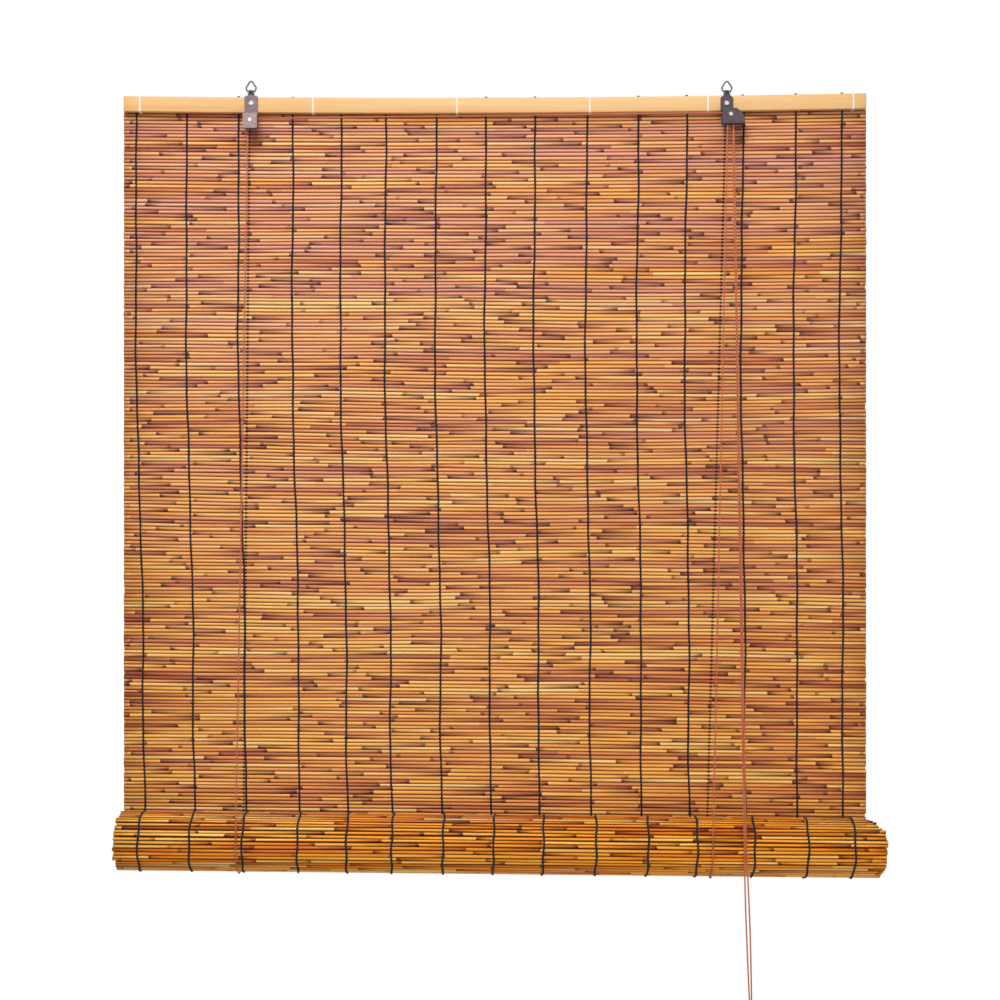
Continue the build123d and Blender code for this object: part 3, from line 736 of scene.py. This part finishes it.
def makeMat():
    # each stem lies along its row, at the mat's middle and a hair before or behind it
    rng = np.random.default_rng(mat["seed"] + 1)
    rows = mat["rows"]
    left = matLow[0] + mat["trim"] + rng.normal(0, mat["ragged"], rows)
    right = matHigh[0] - mat["trim"] + rng.normal(0, mat["ragged"], rows)
    right -= mat["shortBy"] * (rng.random(rows) < mat["shortTips"])
    stems = reedProfiles(reedStem, left, right, rowGirths * mat["overlap"], rng)
    row = np.arange(rows)[:, None] + 0.5
    z = rowHeight(row, rowMiddles[:, None], stems["x"])
    y = np.broadcast_to(matMiddle + rng.normal(0, mat["depthSpread"], (rows, 1)), z.shape)
    part, values = reedPart(reedStem, stems, y, z, np.full(rows, np.pi))
    material = reedMaterial("reed mat", matColours)
    piece = addPiece("reedMat", [part], "headrail", "reed", material, ["reed_mat"], values)
    anchor = (0, 0, matTop)
    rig.squash(piece, "roll_lift", (0, 0, 1), anchor, keep=1 - liftTravel / matDrop)
    return len(stems["x"])


print("mat woven:", makeMat(), "stems")


# Roll at the foot of the mat

roll = dict(
    reedDepth=4.4 * mm, turnPitch=4.8 * mm, reedPitch=4.78 * mm,
    halves=13,  # half turns
    leftEnd=-498.6 * mm, rightEnd=512.9 * mm,
    topDrawIn=(4.0 * mm, 25 * mm),  # how far the stems on top end short, left and right
    topFrom=0.4,  # sine of the bearing where that starts
    topPower=4, bottomDrawIn=(1.5 * mm, 7.8 * mm), bottomFrom=0.5, ragged=1.2 * mm,
    girthSpread=0.05, girthRange=(0.9, 1.06),
    sway=0.5 * mm,  # of a stem along the strip
    swayRate=9,  # radians for each metre
    swayPhases=(0, 6), outerStems=50,
    core=dict(sides=8, nodeSlots=1, plainRings=3),  # the stems further in are plainer
    seed=77,
)


def spiral(distance):
    # the strip is wound in half circles about two centres, each half a pitch smaller: a point at a
    # distance along it has a bearing, and it lies at centre + radius (cos bearing, sin bearing)
    half = np.arange(roll["halves"])
    radius = rollRadius - half * roll["turnPitch"] / 2 - roll["reedDepth"] / 2
    ends = np.concatenate([[0], (np.pi * radius).cumsum()])
    half = np.clip(np.searchsorted(ends, distance, side="right") - 1, 0, roll["halves"] - 1)
    turned = (distance - ends[half]) / radius[half]
    bearing = np.where(half % 2 == 0, 0.0, np.pi) - turned
    centre = rollAxis[1] - np.where(half % 2 == 0, 0.0, roll["turnPitch"] / 2)
    return bearing, centre, radius[half], ends[-1]


def stemEnds(bearing, rng):
    # each stem is drawn in towards the top and the bottom by (sin bearing - from) / (1 - from)
    high, topFrom, bottomFrom = np.sin(bearing), roll["topFrom"], roll["bottomFrom"]
    top = np.clip((high - topFrom) / (1 - topFrom), 0, 1) ** roll["topPower"]
    bottom = np.clip((-high - bottomFrom) / (1 - bottomFrom), 0, 1)
    left = roll["leftEnd"] + roll["topDrawIn"][0] * top + roll["bottomDrawIn"][0] * bottom
    right = roll["rightEnd"] - roll["topDrawIn"][1] * top - roll["bottomDrawIn"][1] * bottom
    return [end + rng.normal(0, roll["ragged"], len(top)) for end in (left, right)]


def makeRoll():
    # a stem's middle lies on the spiral, swayed along the strip by reach sin(rate x + phase)
    rng = np.random.default_rng(roll["seed"])
    pitch, total = roll["reedPitch"], spiral(np.array([0.0]))[3]
    distance = np.arange(pitch / 2, total - pitch / 2, pitch)
    outer, inner = distance[: roll["outerStems"]], distance[roll["outerStems"]:]
    parts, values = [], []
    for look, run in ((reedStem, outer), (dict(reedStem, **roll["core"]), inner)):
        bearing, centre, radius = spiral(run)[:3]
        left, right = stemEnds(bearing, rng)
        spread = rng.normal(1.0, roll["girthSpread"], len(run)).clip(*roll["girthRange"])
        stems = reedProfiles(look, left, right, pitch / 2 * spread, rng)
        phase = rng.uniform(*roll["swayPhases"], (len(run), 1))
        drift = roll["sway"] * np.sin(stems["x"] * roll["swayRate"] + phase)
        across, up = np.cos(bearing)[:, None], np.sin(bearing)[:, None]
        y = (centre + radius * np.cos(bearing))[:, None] + drift * up
        z = radius[:, None] * up - drift * across + rollHeight(stems["x"])
        part, numbers = reedPart(look, stems, y, z, bearing)
        parts.append(part)
        values.append(numbers)
    values = {key: np.concatenate([numbers[key] for numbers in values]) for key in values[0]}
    material = reedMaterial("reed roll", rollColours)
    addPiece("reedRoll", parts, "roll", "reed", material, ["reed_roll"], values)
    return len(distance)


print("roll wound:", makeRoll(), "stems")


# Black twine, two strands to a column

fabric = dict(
    surface={"Roughness": 0.85, "Sheen Weight": 0.2, "Specular IOR Level": 0.25},
    strandRange=(0.0, 0.75), fuzzScale=900.0, fuzzDetail=3.0, fuzzRange=(0.1, 0.6),
    bump=0.6,
)


def fabricMaterial(name, look):
    # laid or braided strands: painted shade between them, with a fine fuzz of colour
    material, tree, shader = newMaterial(name, fabric["surface"])
    inputs = dict(Round=look["strands"], Lay=look["lay"], Cross=look["cross"])
    height = placeGroup(tree, strands, **inputs)["Height"]
    fuzz = noise(objectPlace(tree), fabric["fuzzScale"], fabric["fuzzDetail"])
    raised = limited(height, *fabric["strandRange"])
    share = times(raised, limited(fuzz, *fabric["fuzzRange"]))
    dress(shader, mixed(share, look["dark"], look["base"]), height, fabric["bump"])
    return material


twine = dict(
    columnShares=(
        -0.483, -0.415, -0.345, -0.272, -0.207, -0.147, -0.079, -0.012,
        0.054, 0.124, 0.193, 0.258, 0.334, 0.405, 0.467,
    ),
    leanLeft=13 * mm,  # drift of the first column on its way down
    leanRight=1.5 * mm, radius=1.4 * mm, sides=5, pointsPerRow=4, twist=0.6 * mm,
    flatness=0.7,  # power that flattens the waves over the reeds
    wobble=[(0.23, 0.5 * mm), (0.09, 0.3 * mm)],  # wave length and reach sideways
    swerves=[(0.0, 0.72, -4.4 * mm), (0.72, 1.0, -1.5 * mm)],  # from, to and reach, in all columns
    rollStop=44,  # rows of the roll that its columns bind
    rollHalves=2,  # half turns that these rows take
    rollDrift=2.6 * mm,  # sideways in each half turn
    rollStray=0.7 * mm, strayRows=9,
    strayPhase=37,  # radians for each metre sideways
    # dark is the painted shade between the strands
    base=paint(36, 27, 36), dark=paint(10, 6, 9), strands=2.0, lay=2.6 * mm, cross=0.0,
    seed=12,
)
twineMaterial = fabricMaterial("black twine", twine)


def columnPlaces():
    # top of each column, and its lean, which goes straight from the first one's to the last one's
    shares = np.array(twine["columnShares"])
    part = (shares - shares[0]) / (shares[-1] - shares[0])
    return shares * matWidth, twine["leanLeft"] + (twine["leanRight"] - twine["leanLeft"]) * part


def weave(row, girth):
    # one strand's way to and fro: cos(pi (row - 1/2)), flattened, times the reed and half the twine
    wave = np.cos(np.pi * (row - 0.5))
    flat = np.sign(wave) * np.abs(wave) ** twine["flatness"]
    return flat * (girth + 0.5 * twine["radius"])


def crossing(row, side):
    # the two strands pass each other between the reeds: twist sin(pi (row - 1/2)) to either side
    return side * twine["twist"] * np.sin(np.pi * (row - 0.5))


def swerve(share):
    # each swerve is reach sin^2(pi (share - from) / (to - from)) between its two ends
    total = np.zeros_like(share)
    for low, high, reach in twine["swerves"]:
        inside = (share > low) & (share < high)
        total += inside * reach * np.sin(np.pi * (share - low) / (high - low)) ** 2
    return total


def makeWarpTwines():
    # x = start + lean s + swerve + wobble + crossing, y = middle +- weave, z = that of the row
    rng = np.random.default_rng(twine["seed"])
    rows = mat["rows"]
    row = np.linspace(0, rows, rows * twine["pointsPerRow"] + 1)
    depth = np.interp(row, np.arange(rows + 1), rowEdges)
    girth = np.interp(row, np.arange(rows) + 0.5, rowGirths)
    girth = np.minimum(girth, (matHigh[1] - matLow[1]) / 2)
    share = depth / matDrop
    paths = []
    for start, lean in zip(*columnPlaces()):
        x = start + lean * share + swerve(share)
        for length, reach in twine["wobble"]:
            x = x + reach * np.sin(2 * np.pi * depth / length + rng.uniform(0, 2 * np.pi))
        z = rowHeight(row, depth, x)
        for side in (-1, 1):
            y = matMiddle + side * weave(row, girth)
            paths.append(stack(x + crossing(row, side), y, z))
    half = len(paths) // 4 * 2  # whole columns
    for name, some in (("warpTwinesLeft", paths[:half]), ("warpTwinesRight", paths[half:])):
        part = tubePart(some, twine)
        piece = addPiece(name, [part], "headrail", "black_twine", twineMaterial, ["warp_twines"])
        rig.squash(piece, "roll_lift", (0, 0, 1), (0, 0, matTop), keep=1 - liftTravel / matDrop)
    return len(paths)


def makeRollTwines():
    # the same on the spiral: weave goes outwards and inwards, and x slides and strays with the rows
    stop = twine["rollStop"]
    row = np.linspace(0, stop, stop * twine["pointsPerRow"] + 1)
    bearing, centre, radius = spiral(row * roll["reedPitch"])[:3]
    slide = twine["rollDrift"] * row / stop * twine["rollHalves"]
    paths = []
    for start, lean in zip(*columnPlaces()):
        phase = 2 * np.pi * row / twine["strayRows"] + twine["strayPhase"] * start
        for side in (-1, 1):
            reach = radius + side * weave(row, roll["reedDepth"] / 2)
            x = start + lean + slide + twine["rollStray"] * np.sin(phase) + crossing(row, side)
            z = rollHeight(x) + reach * np.sin(bearing)
            paths.append(stack(x, centre + reach * np.cos(bearing), z))
    part = tubePart(paths, twine)
    addPiece("rollTwines", [part], "roll", "black_twine", twineMaterial, ["roll_twines"])
    return len(paths)


twineKnot = dict(
    size=0.5 * mm,
    depth=1.3,  # of the knot, to its size
    radius=0.5 * mm, points=42, sides=6,
    sideways=(0.1, 1, 0.2),  # nowhere along the strand
    drops=(2.2, 1.2, 0, 0.7, 1.6, 2.4, 2.4, 0, 0.3, 2.4, 0.3, 0, 0.4, 0, 0),  # mm pulled down
    stalk=0.9 * mm,
    stalkFoot=1.5 * mm,  # how far below the mat's top edge the ends start
)


def makeTwineKnots():
    # a closed overhand knot: (sin t + 2 sin 2t, -depth sin 3t, cos t - 2 cos 2t) times its size
    look = twineKnot
    t = np.linspace(0, 2 * np.pi, look["points"], endpoint=False)
    across, up = np.sin(t) + 2 * np.sin(2 * t), np.cos(t) - 2 * np.cos(2 * t)
    knot = stack(across, -look["depth"] * np.sin(3 * t), up)
    starts = columnPlaces()[0]
    lift = railBow(starts)
    middles = stack(starts, matMiddle, knotHigh[2] + lift - np.array(look["drops"]) * mm)
    feet = stack(starts, matMiddle, matTop + lift - look["stalkFoot"])
    paths = middles[:, None] + knot * look["size"]
    parts = [
        tubePart(paths, look, look["sideways"], closed=True),
        tubePart(np.stack([feet, middles], 1), dict(look, radius=look["stalk"])),
    ]
    addPiece("twineKnots", parts, "headrail", "black_twine", twineMaterial, ["twine_knots"])
    return len(starts)


print("twine laid:", makeWarpTwines(), "strands on the mat,", makeRollTwines(), "on the roll")
print("knots tied:", makeTwineKnots())


# Headrail and the white threads round it

rail = dict(corner=1.1 * mm, cornerSteps=4, rings=61, endRound=0.8 * mm)


def roundedSection(half, corner, steps):
    # a rectangle with quarter circles at its corners, anticlockwise in y and z, about its middle
    angle = np.linspace(0, np.pi / 2, steps)
    quarter = stack(np.cos(angle), np.sin(angle)) * corner
    turned = []
    for number, (sideY, sideZ) in enumerate(((1, 1), (-1, 1), (-1, -1), (1, -1))):
        turn = number * np.pi / 2
        spin = np.array([[np.cos(turn), np.sin(turn)], [-np.sin(turn), np.cos(turn)]])
        turned.append(quarter @ spin + (np.array(half) - corner) * (sideY, sideZ))
    return np.concatenate(turned)


def makeHeadrail():
    # the section carried along x, shrunk a little at both ends and lifted by the bow
    half = (railHigh[1:] - railLow[1:]) / 2
    middle = (railHigh[1:] + railLow[1:]) / 2
    section = roundedSection(half, rail["corner"], rail["cornerSteps"])
    inset = rail["endRound"]
    x = np.linspace(railLow[0] + inset, railHigh[0] - inset, rail["rings"])
    x = np.concatenate([[railLow[0]], x, [railHigh[0]]])
    shrink = np.ones(len(x))
    shrink[[0, -1]] = 1 - inset / half[1]
    y = middle[0] + shrink[:, None] * section[:, 0]
    z = middle[1] + shrink[:, None] * section[:, 1] + railBow(x)[:, None]
    part = tubeMesh(stack(x[:, None], y, z)[None], x[None])
    material = pineMaterial("planed pine")
    return addPiece("headrail.pine", [part], "headrail", "pine", material, ["headrail"])


pine = dict(
    light=paint(229, 190, 136), dark=paint(213, 158, 92), stretch=(7.0, 260.0, 260.0),
    detail=6.0, bands=(0.3, 0.7), bandShare=0.6, lines=(0.3, 0.75), lineShare=0.4,
    surface={"Roughness": 0.5}, bump=0.15,
)


def pineMaterial(name):
    # pale wood: broad bands and fine lines of grain along the batten
    material, tree, shader = newMaterial(name, pine["surface"])
    grain = grainOf(tree, pine)
    bands = times(limited(grain["Blotch"], *pine["bands"]), pine["bandShare"])
    lines = times(limited(grain["Grain"], *pine["lines"]), pine["lineShare"])
    colour = mixed(sums("ADD", bands, lines), pine["light"], pine["dark"])
    dress(shader, colour, grain["Grain"], pine["bump"])
    return material


headrail = makeHeadrail()

ties = dict(
    shares=(-0.478, -0.245, -0.051, 0.128, 0.287, 0.483),
    loops=(-0.85, 0.0, 0.85),  # mm
    slant=0.5 * mm, corner=1.4 * mm, cornerSteps=5, radius=0.5 * mm, sides=6,
    # dark is the painted shade between the strands
    base=paint(255, 253, 250), dark=paint(228, 222, 214), strands=3.0, lay=1.6 * mm,
    cross=0.0,
)
threadMaterial = fabricMaterial("white thread", ties)


def makeTies():
    # each tie is three turns of thread round the rail and the mat: a rounded rectangle in y and z
    half = (tieHigh[1:] - tieLow[1:]) / 2 - ties["radius"]
    middle = (tieHigh[1:] + tieLow[1:]) / 2
    loop = roundedSection(half, ties["corner"], ties["cornerSteps"]) + middle
    angle = np.linspace(0, 2 * np.pi, len(loop), endpoint=False)
    paths = []
    for share in ties["shares"]:
        place = share * (railHigh[0] - railLow[0])
        for number, turn in enumerate(ties["loops"]):
            x = place + turn * mm + ties["slant"] * np.sin(angle + number)
            paths.append(stack(x, loop[:, 0], loop[:, 1] + railBow(x)))
    part = tubePart(paths, ties, closed=True)
    addPiece("headrailTies", [part], "headrail", "white_thread", threadMaterial, ["headrail_ties"])
    return len(paths)


print("headrail tied with", makeTies(), "turns of thread")


# Cords

cord = dict(
    radius=1.0 * mm, sides=8, runPoints=40, slingPoints=48, base=paint(214, 114, 72),
    # dark is the painted shade between the strands
    dark=paint(152, 68, 42), strands=4.0, lay=3.4 * mm, cross=1.0,
)
cordMaterial = fabricMaterial("terracotta cord", cord)
cordSlot = "terracotta_cord"


def straight(start, end, points):
    # start (1 - s) + end s
    share = np.linspace(0, 1, points)[:, None]
    return np.array(start) * (1 - share) + np.array(end) * share


def addCord(name, path, body, stands):
    return addPiece(name, [tubePart([path], cord)], body, cordSlot, cordMaterial, stands)


# where a lift cord leaves its pulley, meets the roll, leaves it behind and is stapled, in mm
lifts = dict(
    left=[
        (-330.2, -4.6, -53.4), (-338.5, -66.1, -1008.6),
        (-338.5, 18.2, -1011.3), (-330.2, 18.2, -31.1),
    ],
    right=[
        (310.5, -11, -45.7), (284.8, -66.1, -1015.4),
        (284.8, 18.2, -1017.8), (310.5, 18.2, -31.1),
    ],
)
slingRadius = 42.2 * mm


def makeLift(side, ends):
    # straight runs in front and behind, and an arc under the roll: axis + radius (cos a, sin a)
    top, meet, foot, staple = (np.array(place) * mm for place in ends)
    for label, start, end in (("Front", top, meet), ("Back", staple, foot)):
        run = straight(start, end, cord["runPoints"])
        piece = addCord(f"{side}Lift{label}", run, "headrail", [f"{side}_lift_{label.lower()}"])
        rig.squash(piece, "roll_lift", (0, 0, 1), start, keep=1 - liftTravel / (start[2] - end[2]))
    lean = np.arctan2(meet[2] - rollHeight(meet[0]), rollAxis[1] - meet[1])
    angle = np.linspace(0, -np.pi - lean, cord["slingPoints"])
    y = rollAxis[1] + slingRadius * np.cos(angle)
    arc = stack(meet[0], y, rollHeight(meet[0]) + slingRadius * np.sin(angle))
    addCord(f"{side}Sling", arc, "sling", [f"{side}_sling"])


for side, ends in lifts.items():
    makeLift(side, ends)

# middles of the pulleys in x and z, and their grooves, in mm
pulleys = dict(
    left=(-326.5, -53.2), right=(314.2, -45.5), radius=3.7, rearGroove=-4.6,
    frontGroove=-11.0, quarterPoints=12, halfPoints=16,
)


def arcRoute(centre, depth, start, stop, points):
    # an arc about a pulley in x and z, angles in degrees
    angle = np.radians(np.linspace(start, stop, points))
    x = centre[0] + pulleys["radius"] * np.cos(angle)
    z = centre[1] + pulleys["radius"] * np.sin(angle)
    return stack(x, depth, z) * mm


def makePulleyCords():
    # the cross cord with a quarter turn round each pulley, and half a turn of the right lift cord
    left, right, rear = pulleys["left"], pulleys["right"], pulleys["rearGroove"]
    rise = np.degrees(np.arctan2(right[1] - left[1], right[0] - left[0]))
    up = arcRoute(left, rear, 180, 90 + rise, pulleys["quarterPoints"])
    down = arcRoute(right, rear, 90 + rise, 0, pulleys["quarterPoints"])
    cross = np.concatenate([up, straight(up[-1], down[0], cord["runPoints"])[1:-1], down])
    over = arcRoute(right, pulleys["frontGroove"], 180, 0, pulleys["halfPoints"])
    parts = [tubePart([path], cord, (0, 1, 0)) for path in (cross, over)]
    addPiece("pulleyCords", parts, "headrail", cordSlot, cordMaterial, ["pulley_cords"])


makePulleyCords()

# routes of the two pull strands in mm, from the lock to the roll and on to the knot
pull = dict(
    upper=[
        [(317.9, -4.6, -45.7), (318.3, -5.5, -60), (325.6, -65, -1006), (325.8, -65.8, -1018.2)],
        [(317.9, -11, -45.7), (318.4, -11.8, -60), (327.9, -65.1, -1006), (328.1, -65.8, -1018.2)],
    ],
    lower=[  # x and z, all at one depth
        [(325.8, -1018.4), (326.2, -1062), (329.2, -1147), (332.9, -1226)],
        [(328.1, -1018.4), (330.8, -1062), (334.2, -1147), (335.2, -1226)],
    ],
    depth=-65.8, order=3, resolution=24,
)


def routePoints(route):
    # points along a smooth spline that has the route as its control points
    data = bpy.data.curves.new("route", "CURVE")
    data.dimensions = "3D"
    data.resolution_u = pull["resolution"]
    spline = data.splines.new("NURBS")
    spline.points.add(len(route) - 1)
    weighted = np.column_stack([np.array(route) * mm, np.ones(len(route))])
    spline.points.foreach_set("co", weighted.ravel())
    spline.order_u = pull["order"]
    spline.use_endpoint_u = True
    helper = bpy.data.objects.new("route", data)
    mesh = bpy.data.meshes.new_from_object(helper)
    points = np.zeros(len(mesh.vertices) * 3)
    mesh.vertices.foreach_get("co", points)
    bpy.data.objects.remove(helper)
    bpy.data.curves.remove(data)
    bpy.data.meshes.remove(mesh)
    return points.reshape(-1, 3)


def pathLength(path):
    # the sum of its steps
    return float(np.linalg.norm(np.diff(path, axis=0), axis=1).sum())


pullKnot = dict(  # in mm
    x=334.05, top=-1226.2, foot=-1241.2, turns=5, turnPoints=24, wrap=3.7,
    wrapDip=0.7,  # how much closer the turns lie at both ends
    wire=1.35, core=2.9, coreDip=1.4, coreInset=0.6, corePoints=9, coreSides=12,
    tailStart=2, tailFoot=-1266.6, tailSpread=3.4, tailBow=0.9, tailPoints=24,
)


def makePullKnot():
    # a barrel of turns round the two strands, with two tails: a helix whose radius is
    # wrap - dip (2 s - 1)^4, about a core of the same form
    knot = pullKnot
    middle = np.array([knot["x"], pull["depth"], 0]) * mm
    share = np.linspace(0, 1, knot["turnPoints"] * knot["turns"])
    angle = 2 * np.pi * knot["turns"] * share
    reach = (knot["wrap"] - knot["wrapDip"] * (2 * share - 1) ** 4) * mm
    low, high = (knot["foot"] + knot["wire"]) * mm, (knot["top"] - knot["wire"]) * mm
    helix = stack(reach * np.cos(angle), reach * np.sin(angle), high + (low - high) * share)
    parts = [tubePart([middle + helix], dict(cord, radius=knot["wire"] * mm), (0, 0, 1))]
    inset, points = knot["coreInset"], knot["corePoints"]
    core = straight((0, 0, knot["top"] - inset), (0, 0, knot["foot"] + inset), points) * mm + middle
    bulge = (knot["core"] - knot["coreDip"] * np.linspace(-1, 1, points) ** 4) * mm
    parts.append(tubePart([core], dict(radius=bulge, sides=knot["coreSides"])))
    bow = np.sin(np.linspace(0, np.pi, knot["tailPoints"]))
    for side in (-1, 1):
        start = (side, 0, knot["foot"] + knot["tailStart"])
        end = (side * knot["tailSpread"], 0, knot["tailFoot"])
        tail = straight(start, end, knot["tailPoints"]) * mm + middle
        tail[:, 0] += side * knot["tailBow"] * mm * bow
        parts.append(tubePart([tail], cord))
    return addPiece("pullKnot", parts, "pull", cordSlot, cordMaterial, ["pull_knot"])


def makePullCords():
    knot = makePullKnot()
    for label, upper, lower in zip("AB", pull["upper"], pull["lower"]):
        above, below = routePoints(upper), routePoints([(x, pull["depth"], z) for x, z in lower])
        run = addCord(f"pullCordUpper{label}", above, "headrail", ["pull_cords_upper"])
        keep = 1 - liftTravel / (above[0, 2] - above[-1, 2])
        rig.squash(run, "roll_lift", (0, 0, 1), above[0], keep=keep)
        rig.cord(run, exit=above[0], length=pathLength(above), diameter=2 * cord["radius"],
                far_end="object", stiffness="limp", lay="hanging", path=above)
        hang = addCord(f"pullCordLower{label}", below, None, ["pull_cords_lower"])
        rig.blend(hang, "sling", "pull", start=below[0], end=below[-1])
        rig.cord(hang, exit=below[0], length=pathLength(below), diameter=2 * cord["radius"],
                far_end="knot", stiffness="limp", lay="hanging", path=below, with_pieces=[knot])
        length = pathLength(above) + pathLength(below)
        print("pull strand", label, "is", round(length, 3), "m long")


makePullCords()
print("cords strung")


# Finishes of the pieces that keep their own solids

metals = dict(
    grey=dict(base=paint(147, 129, 129), worn=paint(112, 94, 94), dull=0.5, metal=0.5, rough=0.45),
    dark=dict(base=paint(80, 65, 73), worn=paint(56, 44, 50), dull=0.12, metal=0.4, rough=0.45),
    wire=dict(base=paint(92, 84, 84), worn=paint(56, 50, 50), dull=0, metal=0.7, rough=0.4),
    bright=dict(base=paint(226, 220, 218), worn=paint(178, 168, 164), dull=0, metal=0.8, rough=0.3),
)
wearAndShade = dict(
    size=260.0, patches=(0.35, 0.7),
    plate=(-12 * mm, -4 * mm),  # in y, painted shade on the plate, deeper the nearer to the mat
    curl=(-18.5 * mm, -16.5 * mm),  # in z, dark from there up
    curlShade=paint(64, 53, 54), scratchShare=0.35, polish=0.15, bump=0.12,
    bumpDepth=0.1 * mm,
)


def metalMaterial(name, look):
    # sheet metal with dull patches and fine scratches: painted shade on the plate, dark in the ring's curl
    material, tree, shader = newMaterial(name, {"Metallic": look["metal"]})
    place = objectPlace(tree)
    marks = placeGroup(tree, tarnish, Vector=place, Size=wearAndShade["size"])
    patches = limited(marks["Patches"], *wearAndShade["patches"])
    colour = mixed(patches, look["base"], look["worn"])
    if look["dull"]:
        parts = axes(place)
        # painted shade on the plate, set back behind the cheek
        plate = times(limited(parts[1], *wearAndShade["plate"]), look["dull"])
        colour = mixed(plate, colour, wearAndShade["curlShade"])
        colour = mixed(limited(parts[2], *wearAndShade["curl"]), colour, wearAndShade["curlShade"])
    scratched = times(marks["Scratches"], wearAndShade["scratchShare"])
    feed(shader.inputs["Roughness"], sums("ADD", scratched, look["rough"] - wearAndShade["polish"]))
    dress(shader, colour, marks["Scratches"], wearAndShade["bump"], wearAndShade["bumpDepth"])
    return material


plastic = dict(
    base=paint(232, 228, 218), yellowed=paint(212, 204, 186), size=180.0,
    patches=(0.3, 0.7), surface={"Roughness": 0.4},
)


def plasticMaterial(name):
    # moulded plastic, slightly yellowed in places
    material, tree, shader = newMaterial(name, plastic["surface"])
    marks = placeGroup(tree, tarnish, Vector=objectPlace(tree), Size=plastic["size"])
    patches = limited(marks["Patches"], *plastic["patches"])
    feed(shader.inputs["Base Color"], mixed(patches, plastic["base"], plastic["yellowed"]))
    return material


finishes = {name: metalMaterial(f"{name} metal", look) for name, look in metals.items()}
finishes["plastic"] = plasticMaterial("wheel plastic")
finishes["pine"] = headrail.data.materials[0]
keptNodes = dict(
    left_bracket="grey", right_bracket="dark", bottom_bar="pine", cord_staples="bright",
    lock_roller="bright",
)
for side in ("left", "right"):
    pair = dict(ring="wire", bracket_screw="bright", pulley_pin="bright", pulley="plastic")
    keptNodes.update({f"{side}_{name}": finish for name, finish in pair.items()})
for name, finish in keptNodes.items():
    nodes[name].data.materials.clear()
    nodes[name].data.materials.append(finishes[finish])
print("finishes on", len(keptNodes), "solids")


# Floor, world and lamps

stage = dict(
    floorDrop=1.8, floorHalf=4.0,
    floor={"Roughness": 0.9, "Base Color": paint(240, 239, 236)}, floorLift=0.72,
    floorFade=(1.6, 3.6), ambient=0.26,
    lamps=[
        dict(name="key", place=(-0.45, -2.0, 1.6), aim=(0, 0, -0.5), size=1.3, watts=78),
        dict(name="fill", place=(1.2, -2.5, -1.5), aim=(0, 0, -0.8), size=1.8, watts=22),
        dict(name="back", place=(0.9, 2.6, 1.2), aim=(0, 0, -0.6), size=1.8, watts=30),
    ],
)


def seenDirectly(tree):
    # 1 for what the eye sees, in glass and metal too
    path = addNode(tree, "ShaderNodeLightPath").outputs
    seen = sums("MAXIMUM", path["Is Camera Ray"], path["Is Glossy Ray"])
    return sums("MAXIMUM", seen, path["Is Transmission Ray"])


def makeFloor():
    # pale and matt, lifted towards white for the eye, all white far out: lift = l + (1 - l) far
    half, level = stage["floorHalf"], cadBounds[0].z - stage["floorDrop"]
    mesh = bpy.data.meshes.new("floor")
    corners = [(x * half, y * half, level) for x, y in ((-1, -1), (1, -1), (1, 1), (-1, 1))]
    mesh.from_pydata(corners, [], [(0, 1, 2, 3)])
    material, tree, shader = newMaterial("floor", stage["floor"])
    x, y = axes(objectPlace(tree))[:2]
    squared = sums("ADD", times(x, x), times(y, y))
    far = limited(sums("SQRT", squared), *stage["floorFade"])
    lift = sums("ADD", times(far, 1 - stage["floorLift"]), stage["floorLift"])
    lifted = times(seenDirectly(tree), lift)
    glow = addNode(tree, "ShaderNodeEmission", {"Color": (1, 1, 1, 1), "Strength": 1.0}).outputs[0]
    both = addNode(tree, "ShaderNodeMixShader", {0: lifted, 1: shader.outputs[0], 2: glow})
    feed(tree.nodes["Material Output"].inputs["Surface"], both.outputs[0])
    mesh.materials.append(material)
    floor = bpy.data.objects.new("floor", mesh)
    scene.collection.objects.link(floor)
    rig.stage(floor)


def makeWorld():
    # white to the eye and in reflections, and a softer grey as light
    world = bpy.data.worlds.new("studio")
    world.use_nodes = True
    scene.world = world
    tree = world.node_tree
    tree.nodes.clear()
    lights = {0: seenDirectly(tree)}
    for key, strength in ((1, stage["ambient"]), (2, 1.0)):
        inputs = {"Color": (1, 1, 1, 1), "Strength": strength}
        lights[key] = addNode(tree, "ShaderNodeBackground", inputs).outputs[0]
    both = addNode(tree, "ShaderNodeMixShader", lights).outputs[0]
    addNode(tree, "ShaderNodeOutputWorld", {"Surface": both})


def makeLamp(look):
    data = bpy.data.lights.new(look["name"], "AREA")
    data.size = look["size"]
    data.energy = look["watts"]
    lamp = bpy.data.objects.new(look["name"], data)
    lamp.location = look["place"]
    aim = np.array(look["aim"]) - np.array(look["place"])
    flat = np.hypot(aim[0], aim[1])
    lamp.rotation_euler = (np.arctan2(flat, -aim[2]), 0, np.arctan2(-aim[0], aim[1]))
    scene.collection.objects.link(lamp)


makeFloor()
makeWorld()
for lamp in stage["lamps"]:
    makeLamp(lamp)
print("stage lit by", len(stage["lamps"]), "lamps")

sizes = dict(cad=[list(corner) for corner in cadBounds], visual=[list(corner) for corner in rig.bounds()])
with open("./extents.json", "w") as out:
    json.dump(sizes, out)
